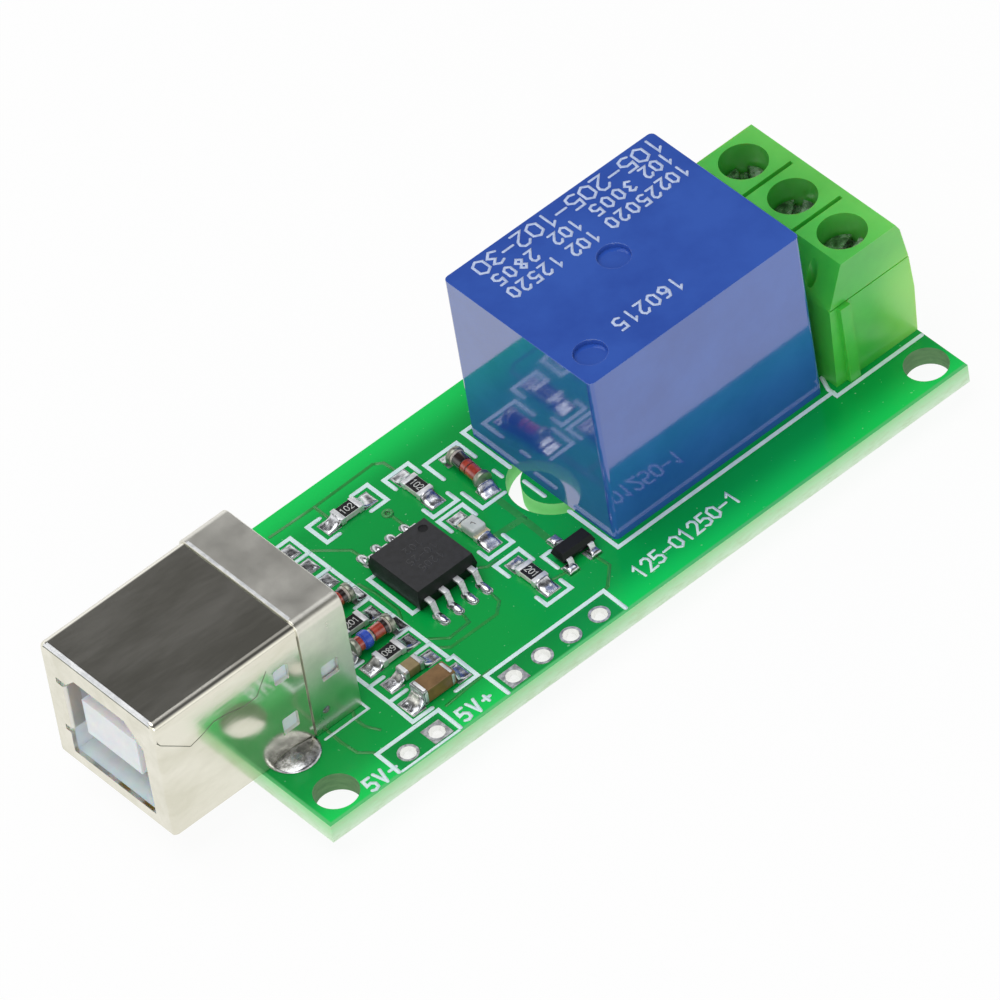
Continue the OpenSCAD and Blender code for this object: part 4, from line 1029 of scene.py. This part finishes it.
# [figures, middle, height, spacing, turn, width against height]
printRows = [
    ["105-205-102-30", (40.3, 19.3), 1.4, 1.19, 180, 1.25],
    ["102", (46.9, 17.75), 1.1, 0.85, 180],
    ["3005", (42.9, 17.6), 1.1, 1.0, 180],
    ["102", (38.6, 17.57), 1.1, 0.85, 180],
    ["2805", (34.1, 17.55), 1.1, 1.0, 180],
    ["102", (46.9, 16.05), 1.1, 0.85, 180],
    ["25020", (43.2, 15.9), 1.1, 0.95, 180],
    ["102", (38.7, 15.85), 1.1, 0.85, 180],
    ["12520", (34.4, 15.9), 1.1, 0.95, 180],
    ["160215", (37.8, 8.3), 1.2, 1.0, 180],
]
addStrokes("relay_print", signPaths(printRows), printLook)

# Bright linings of the plated holes
liningLook = {"bore": 1.18, "depth": 1.66, "segments": 32}
linings = bmesh.new()
for along in boardLook["holeX"]:
    middle = boardPoint(along, boardLook["holeY"])
    middle.z = (boardLow.z + boardHigh.z) / 2
    radius = liningLook["bore"] / 2 * mm
    bmesh.ops.create_cone(
        linings, cap_ends=False, segments=liningLook["segments"], radius1=radius, radius2=radius,
        depth=liningLook["depth"] * mm, matrix=Matrix.Translation(middle),
    )
bmesh.ops.reverse_faces(linings, faces=linings.faces)
addPiece("hole_linings", linings, ["bright_tin"])

# Painted shadow lines along the gaps and creases of the socket's sheets on its near side: [width, [along,
# up], ...] in millimetres
gapLook = {"thick": 0.004, "apart": 0.0005, "off": 0.002}
gapShadowPaths = [
    [0.06, (4.66, 0.5), (4.66, 9.6)],
    [0.06, (-7.55, 9.0), (-7.3, 8.6), (-5.03, 6.75), (-3.98, 7.02), (-2.91, 7.46), (-1.77, 7.29),
     (-0.35, 6.9), (0.74, 6.95), (1.31, 7.79), (1.81, 8.5)],
]
# The last line is a painted shadow where the leg's solder meets the shell
jointLook = {
    "x": 2.65, "reach": 1.95, "foot": 0.07, "height": 0.36, "fall": 0.85, "width": 0.14, "steps": 14,
    "wave": 0.05, "waves": 9,
}
jointShadowPath = [jointLook["width"]]
for step in range(1, jointLook["steps"]):
    share = 2 * step / jointLook["steps"] - 1
    rise = jointLook["foot"] + jointLook["height"] * (1 - share ** 2) ** jointLook["fall"]
    rise += jointLook["wave"] * math.sin(jointLook["waves"] * share)
    jointShadowPath.append((jointLook["x"] + share * jointLook["reach"], rise))
gapShadowPaths.append(jointShadowPath)
gaps = bmesh.new()
for index, (width, *path) in enumerate(gapShadowPaths):
    spots = [Vector((x * mm, z * mm, gapLook["apart"] * index * mm)) for x, z in path]
    addStroke(gaps, spots, width * mm)
turnUp(gaps)
bmesh.ops.rotate(gaps, cent=(0, 0, 0), matrix=Matrix.Rotation(math.pi / 2, 3, "X"), verts=gaps.verts)
gapStart = Vector((boardLow.x, shellLow.y - gapLook["off"] * mm, boardHigh.z))
bmesh.ops.translate(gaps, vec=gapStart, verts=gaps.verts)
addPiece("sheet_gap_shadows", gaps, ["sheet_gap"], thick=gapLook["thick"])

# A paler matt strip on the cover's front lip is a painted highlight, with a painted shadow line before it
lipSides = (7.78, 18.12)
lipHighlightLook = {
    "x": 4.84, "width": 0.24, "lift": topOf("usb_rear_cover") + hair, "apart": 0.0005, "thick": 0.02,
    "slot": "nickel_shell", "finish": "matt_tin",
}
lipShadow = {
    "x": 4.655, "width": 0.07, "lift": topOf("usb_shell") + hair, "apart": 0.0005, "thick": 0.004,
    "slot": "nickel_shell", "finish": "sheet_gap",
}
addStrokes("cover_lip_highlight", [[(lipHighlightLook["x"], side) for side in lipSides]], lipHighlightLook)
addStrokes("cover_gap_shadow", [[(lipShadow["x"], side) for side in lipSides]], lipShadow)
print("legend, tracks and print made")

# Solder: a fillet runs from each metal end down to the rim of its pad
solderLook = {
    "lumps": 0.045, "lumpSize": 0.5, "lumpsUp": 0.02, "skin": 0.02, "steps": 14, "padTop": 0.055,
    "pinch": 0.12, "bow": 0.05, "sag": 0.55, "hollow": 3.6, "film": 0.05, "smooth": 80,
}


def lumps(spot, amount=1.0):
    return amount * solderLook["lumps"] * noise.noise(spot / (solderLook["lumpSize"] * mm))


def solderGrid(mesh):
    steps = solderLook["steps"]
    return bmesh.ops.create_grid(mesh, x_segments=steps, y_segments=steps, size=1)["verts"]


# Local x runs outwards from the metal end, y across the pad; both in mm
def addFillet(mesh, centre, turn, inner, outer, width, height):
    spin = Matrix.Rotation(math.radians(turn), 2)
    for vert in solderGrid(mesh):
        along = (vert.co.x + 1) / 2
        across = vert.co.y
        pinch = 1 - solderLook["pinch"] * along ** 6 - solderLook["bow"] * abs(across) * along
        local = spin @ Vector((inner + along * (outer - inner), across * width / 2 * pinch))
        rise = height * (1 - along) ** solderLook["hollow"] * (1 - solderLook["sag"] * across ** 4)
        rise += solderLook["film"] * (1 - across ** 8) * (1 - along ** 8)
        spot = boardPoint(centre[0] + local.x, centre[1] + local.y, solderLook["padTop"])
        edgeFade = (1 - across ** 6) * (1 - along ** 6)
        spot.z += (rise + max(0, lumps(spot) + solderLook["lumpsUp"]) * edgeFade) * mm
        vert.co = spot


# A round dome is drawn in from the square grid to a disc, a square one keeps its corners
def addDome(mesh, centre, length, width, height, rough=1.0, isRound=False, fall=0.6):
    for vert in solderGrid(mesh):
        u, v = vert.co.x, vert.co.y  # from the middle to the rim: -1 to 1
        if isRound:
            u, v = u * math.sqrt(1 - v * v / 2), v * math.sqrt(1 - u * u / 2)
        edge = min(1, u * u + v * v) if isRound else max(abs(u), abs(v)) ** 4
        spot = boardPoint(centre[0] + u * length / 2, centre[1] + v * width / 2, solderLook["padTop"])
        spot.z += (height + lumps(spot, rough)) * (1 - edge) ** fall * mm
        vert.co = spot


# [metal ends, turn, half length of the part, outer reach of the pads, pad width, height of the fillet]
chipTurns = {1: 0, 2: 90, 3: 90, 4: 0, 5: 0}
twoEnded = [[f"resistor_ends_{number}", turn, 1.0, 2.2, 1.25, 0.5] for number, turn in chipTurns.items()]
twoEnded.append(["led_ends", 90, 1.0, 2.2, 1.25, 0.45])
for number, turn in diodeLook["turn"].items():
    twoEnded.append([f"diode_ends_{number}", turn, 1.75, 2.62, 1.45, 0.55])
twoEnded.append(["small_capacitor_ends", 0, 0.88, 2.2, 1.2, 0.5])
twoEnded.append(["large_capacitor_ends", 0, 1.47, 2.6, 1.55, 0.75])
fillets = bmesh.new()
for ends, turn, *measures in twoEnded:
    for way in (0, 180):
        addFillet(fillets, placeOf(ends), turn + way, *measures)
# Domes on the small chips' empty pads, the controller's leads, the transistor's and the socket's legs:
# [length, width, height, how lumpy, round, fall]
domeLook = {
    "padRows": (17.15, 19.15, 21.1), "padsX": 12.8, "padsApart": 1.63, "pad": (1.12, 1.25, 0.12),
    "pitch": 1.27, "leadsApart": 3.95, "lead": (0.72, 1.5, 0.3, 0.7, True),
    "feet": [(27.26, 8.47), (26.3, 5.7), (28.34, 5.76)], "foot": (0.9, 0.9, 0.3, 1.6),
    "leg": (3.9, 3.9, jointLook["height"], 2.6, True, jointLook["fall"]), "legsY": 12.95, "legsApart": 6.0,
}
for row in domeLook["padRows"]:
    for side in (-1, 1):
        addDome(fillets, (domeLook["padsX"] + side * domeLook["padsApart"], row), *domeLook["pad"])
chipX, chipY = placeOf("controller_leads")
for lead in range(4):
    for side in (-1, 1):
        spot = (chipX + (lead - 1.5) * domeLook["pitch"], chipY + side * domeLook["leadsApart"])
        addDome(fillets, spot, *domeLook["lead"])
for spot in domeLook["feet"]:
    addDome(fillets, spot, *domeLook["foot"])
legSolder = bmesh.new()
for side in (-1, 1):
    addDome(legSolder, (jointLook["x"], domeLook["legsY"] + side * domeLook["legsApart"]), *domeLook["leg"])
joints = {"solder_fillets": (fillets, "solder"), "leg_solder": (legSolder, "clouded_solder")}
for name, (mesh, finish) in joints.items():
    addPiece(name, mesh, [finish], sharp=solderLook["smooth"], thick=-solderLook["skin"])
print("solder made")

# Camera: the photograph's own viewing angle and long lens
cameraLook = {
    "place": (-346.294, -501.162, 625.201), "azimuth": 33.893, "elevation": 45.245, "roll": -10.109,
    "lens": 469.79, "sensor": 36, "clip": (0.01, 20),
}
cameraData = bpy.data.cameras.new("camera")
cameraData.lens = cameraLook["lens"]
cameraData.sensor_width = cameraLook["sensor"]
cameraData.clip_start, cameraData.clip_end = cameraLook["clip"]
camera = bpy.data.objects.new("camera", cameraData)
scene.collection.objects.link(camera)
facing = (
    Matrix.Rotation(math.radians(-cameraLook["azimuth"]), 4, "Z")
    @ Matrix.Rotation(math.radians(90 - cameraLook["elevation"]), 4, "X")
    @ Matrix.Rotation(math.radians(cameraLook["roll"]), 4, "Z")
)
camera.matrix_world = Matrix.Translation(Vector(cameraLook["place"]) * mm) @ facing
scene.camera = camera

# White table: seen white, but it still takes the object's shadow
tableLook = {"size": 3.0, "drop": -1.42, "white": 0.93, "bounce": 0.8, "matt": 0.9}
table = bmesh.new()
bmesh.ops.create_grid(table, x_segments=1, y_segments=1, size=tableLook["size"])
bmesh.ops.translate(table, vec=(0, 0, tableLook["drop"] * mm), verts=table.verts)
tableMesh = bpy.data.meshes.new("table_top")
table.to_mesh(tableMesh)
table.free()
tableTop = bpy.data.objects.new("table_top", tableMesh)
scene.collection.objects.link(tableTop)
paper = bpy.data.materials.new("white_paper")
paper.use_nodes = True
paperTree = paper.node_tree
paperTree.nodes.remove(paperTree.nodes["Principled BSDF"])
rays = addNode(paperTree, "ShaderNodeLightPath").outputs
seen = addNode(paperTree, "ShaderNodeMath", {
    0: rays["Is Camera Ray"], 1: rays["Is Glossy Ray"],
}, operation="MAXIMUM").outputs[0]
seen = addNode(paperTree, "ShaderNodeMath", {
    0: seen, 1: rays["Is Transmission Ray"],
}, operation="MAXIMUM").outputs[0]
share = addNode(paperTree, "ShaderNodeMath", {
    0: seen, 1: tableLook["white"],
}, operation="MULTIPLY").outputs[0]
bounced = addNode(paperTree, "ShaderNodeMath", {
    0: rays["Is Diffuse Ray"], 1: tableLook["bounce"],
}, operation="MULTIPLY").outputs[0]
share = addNode(paperTree, "ShaderNodeMath", {0: share, 1: bounced}, operation="MAXIMUM").outputs[0]
matt = addNode(paperTree, "ShaderNodeBsdfDiffuse", {"Color": (*[tableLook["matt"]] * 3, 1)}).outputs[0]
glow = addNode(paperTree, "ShaderNodeEmission", {"Color": (1, 1, 1, 1), "Strength": 1}).outputs[0]
both = addNode(paperTree, "ShaderNodeMixShader", {0: share, 1: matt, 2: glow}).outputs[0]
paperTree.links.new(both, paperTree.nodes["Material Output"].inputs["Surface"])
tableMesh.materials.append(paper)

# World: plain soft light; shiny things see a dim ceiling above a white horizon
worldLook = {
    "fill": 0.5, "ceiling": 0.088, "horizon": 1.15, "from": 0.3, "to": 0.74,
    "seam": 0.4, "seamFrom": 0.03, "seamTo": 0.1, "zenith": 0.55, "zenithFrom": 0.84, "zenithTo": 0.96,
}
world = bpy.data.worlds.new("studio")
scene.world = world
world.use_nodes = True
sky = world.node_tree
upward = addNode(sky, "ShaderNodeTexCoord").outputs["Generated"]
rise = addNode(sky, "ShaderNodeSeparateXYZ", {"Vector": upward}).outputs["Z"]
mirrored = addNode(sky, "ShaderNodeMapRange", {
    "Value": rise, "From Min": worldLook["from"], "From Max": worldLook["to"],
    "To Min": worldLook["horizon"], "To Max": worldLook["ceiling"],
}, interpolation_type="SMOOTHSTEP").outputs["Result"]
seam = addNode(sky, "ShaderNodeMapRange", {
    "Value": rise, "From Min": worldLook["seamFrom"], "From Max": worldLook["seamTo"],
    "To Min": worldLook["seam"], "To Max": 1,
}, interpolation_type="SMOOTHSTEP").outputs["Result"]
mirrored = addNode(sky, "ShaderNodeMath", {0: mirrored, 1: seam}, operation="MULTIPLY").outputs[0]
zenith = addNode(sky, "ShaderNodeMapRange", {
    "Value": rise, "From Min": worldLook["zenithFrom"], "From Max": worldLook["zenithTo"],
    "To Min": 0, "To Max": worldLook["zenith"],
}, interpolation_type="SMOOTHSTEP").outputs["Result"]
mirrored = addNode(sky, "ShaderNodeMath", {0: mirrored, 1: zenith}, operation="MAXIMUM").outputs[0]
skyRays = addNode(sky, "ShaderNodeLightPath").outputs
lit = addNode(sky, "ShaderNodeMix", {
    "Factor": skyRays["Is Glossy Ray"], "A": worldLook["fill"], "B": mirrored,
}, data_type="FLOAT").outputs["Result"]
clear = addNode(sky, "ShaderNodeMath", {
    0: skyRays["Is Camera Ray"], 1: skyRays["Is Transmission Ray"],
}, operation="MAXIMUM").outputs[0]
strength = addNode(sky, "ShaderNodeMix", {
    "Factor": clear, "A": lit, "B": 1.0,
}, data_type="FLOAT").outputs["Result"]
sky.links.new(strength, sky.nodes["Background"].inputs["Strength"])
sky.nodes["Background"].inputs["Color"].default_value = (1, 1, 1, 1)

# Lamps: one large softbox above, a little to the left, and a weak one low in front for the upright faces
lamps = {
    "softbox": {"size": 0.6, "watts": 1.7, "place": (-0.12, 0.08, 0.55)},
    "low_fill": {"size": 0.3, "watts": 0.36, "place": (-0.3, -0.34, 0.15)},
}
for name, look in lamps.items():
    lampData = bpy.data.lights.new(name, "AREA")
    lampData.shape = "DISK"
    lampData.size = look["size"]
    lampData.energy = look["watts"]
    lamp = bpy.data.objects.new(name, lampData)
    lamp.location = look["place"]
    lamp.rotation_euler = (-Vector(look["place"])).to_track_quat("-Z", "Y").to_euler()
    scene.collection.objects.link(lamp)
scene.view_settings.view_transform = "Standard"
print("camera, table and light set")
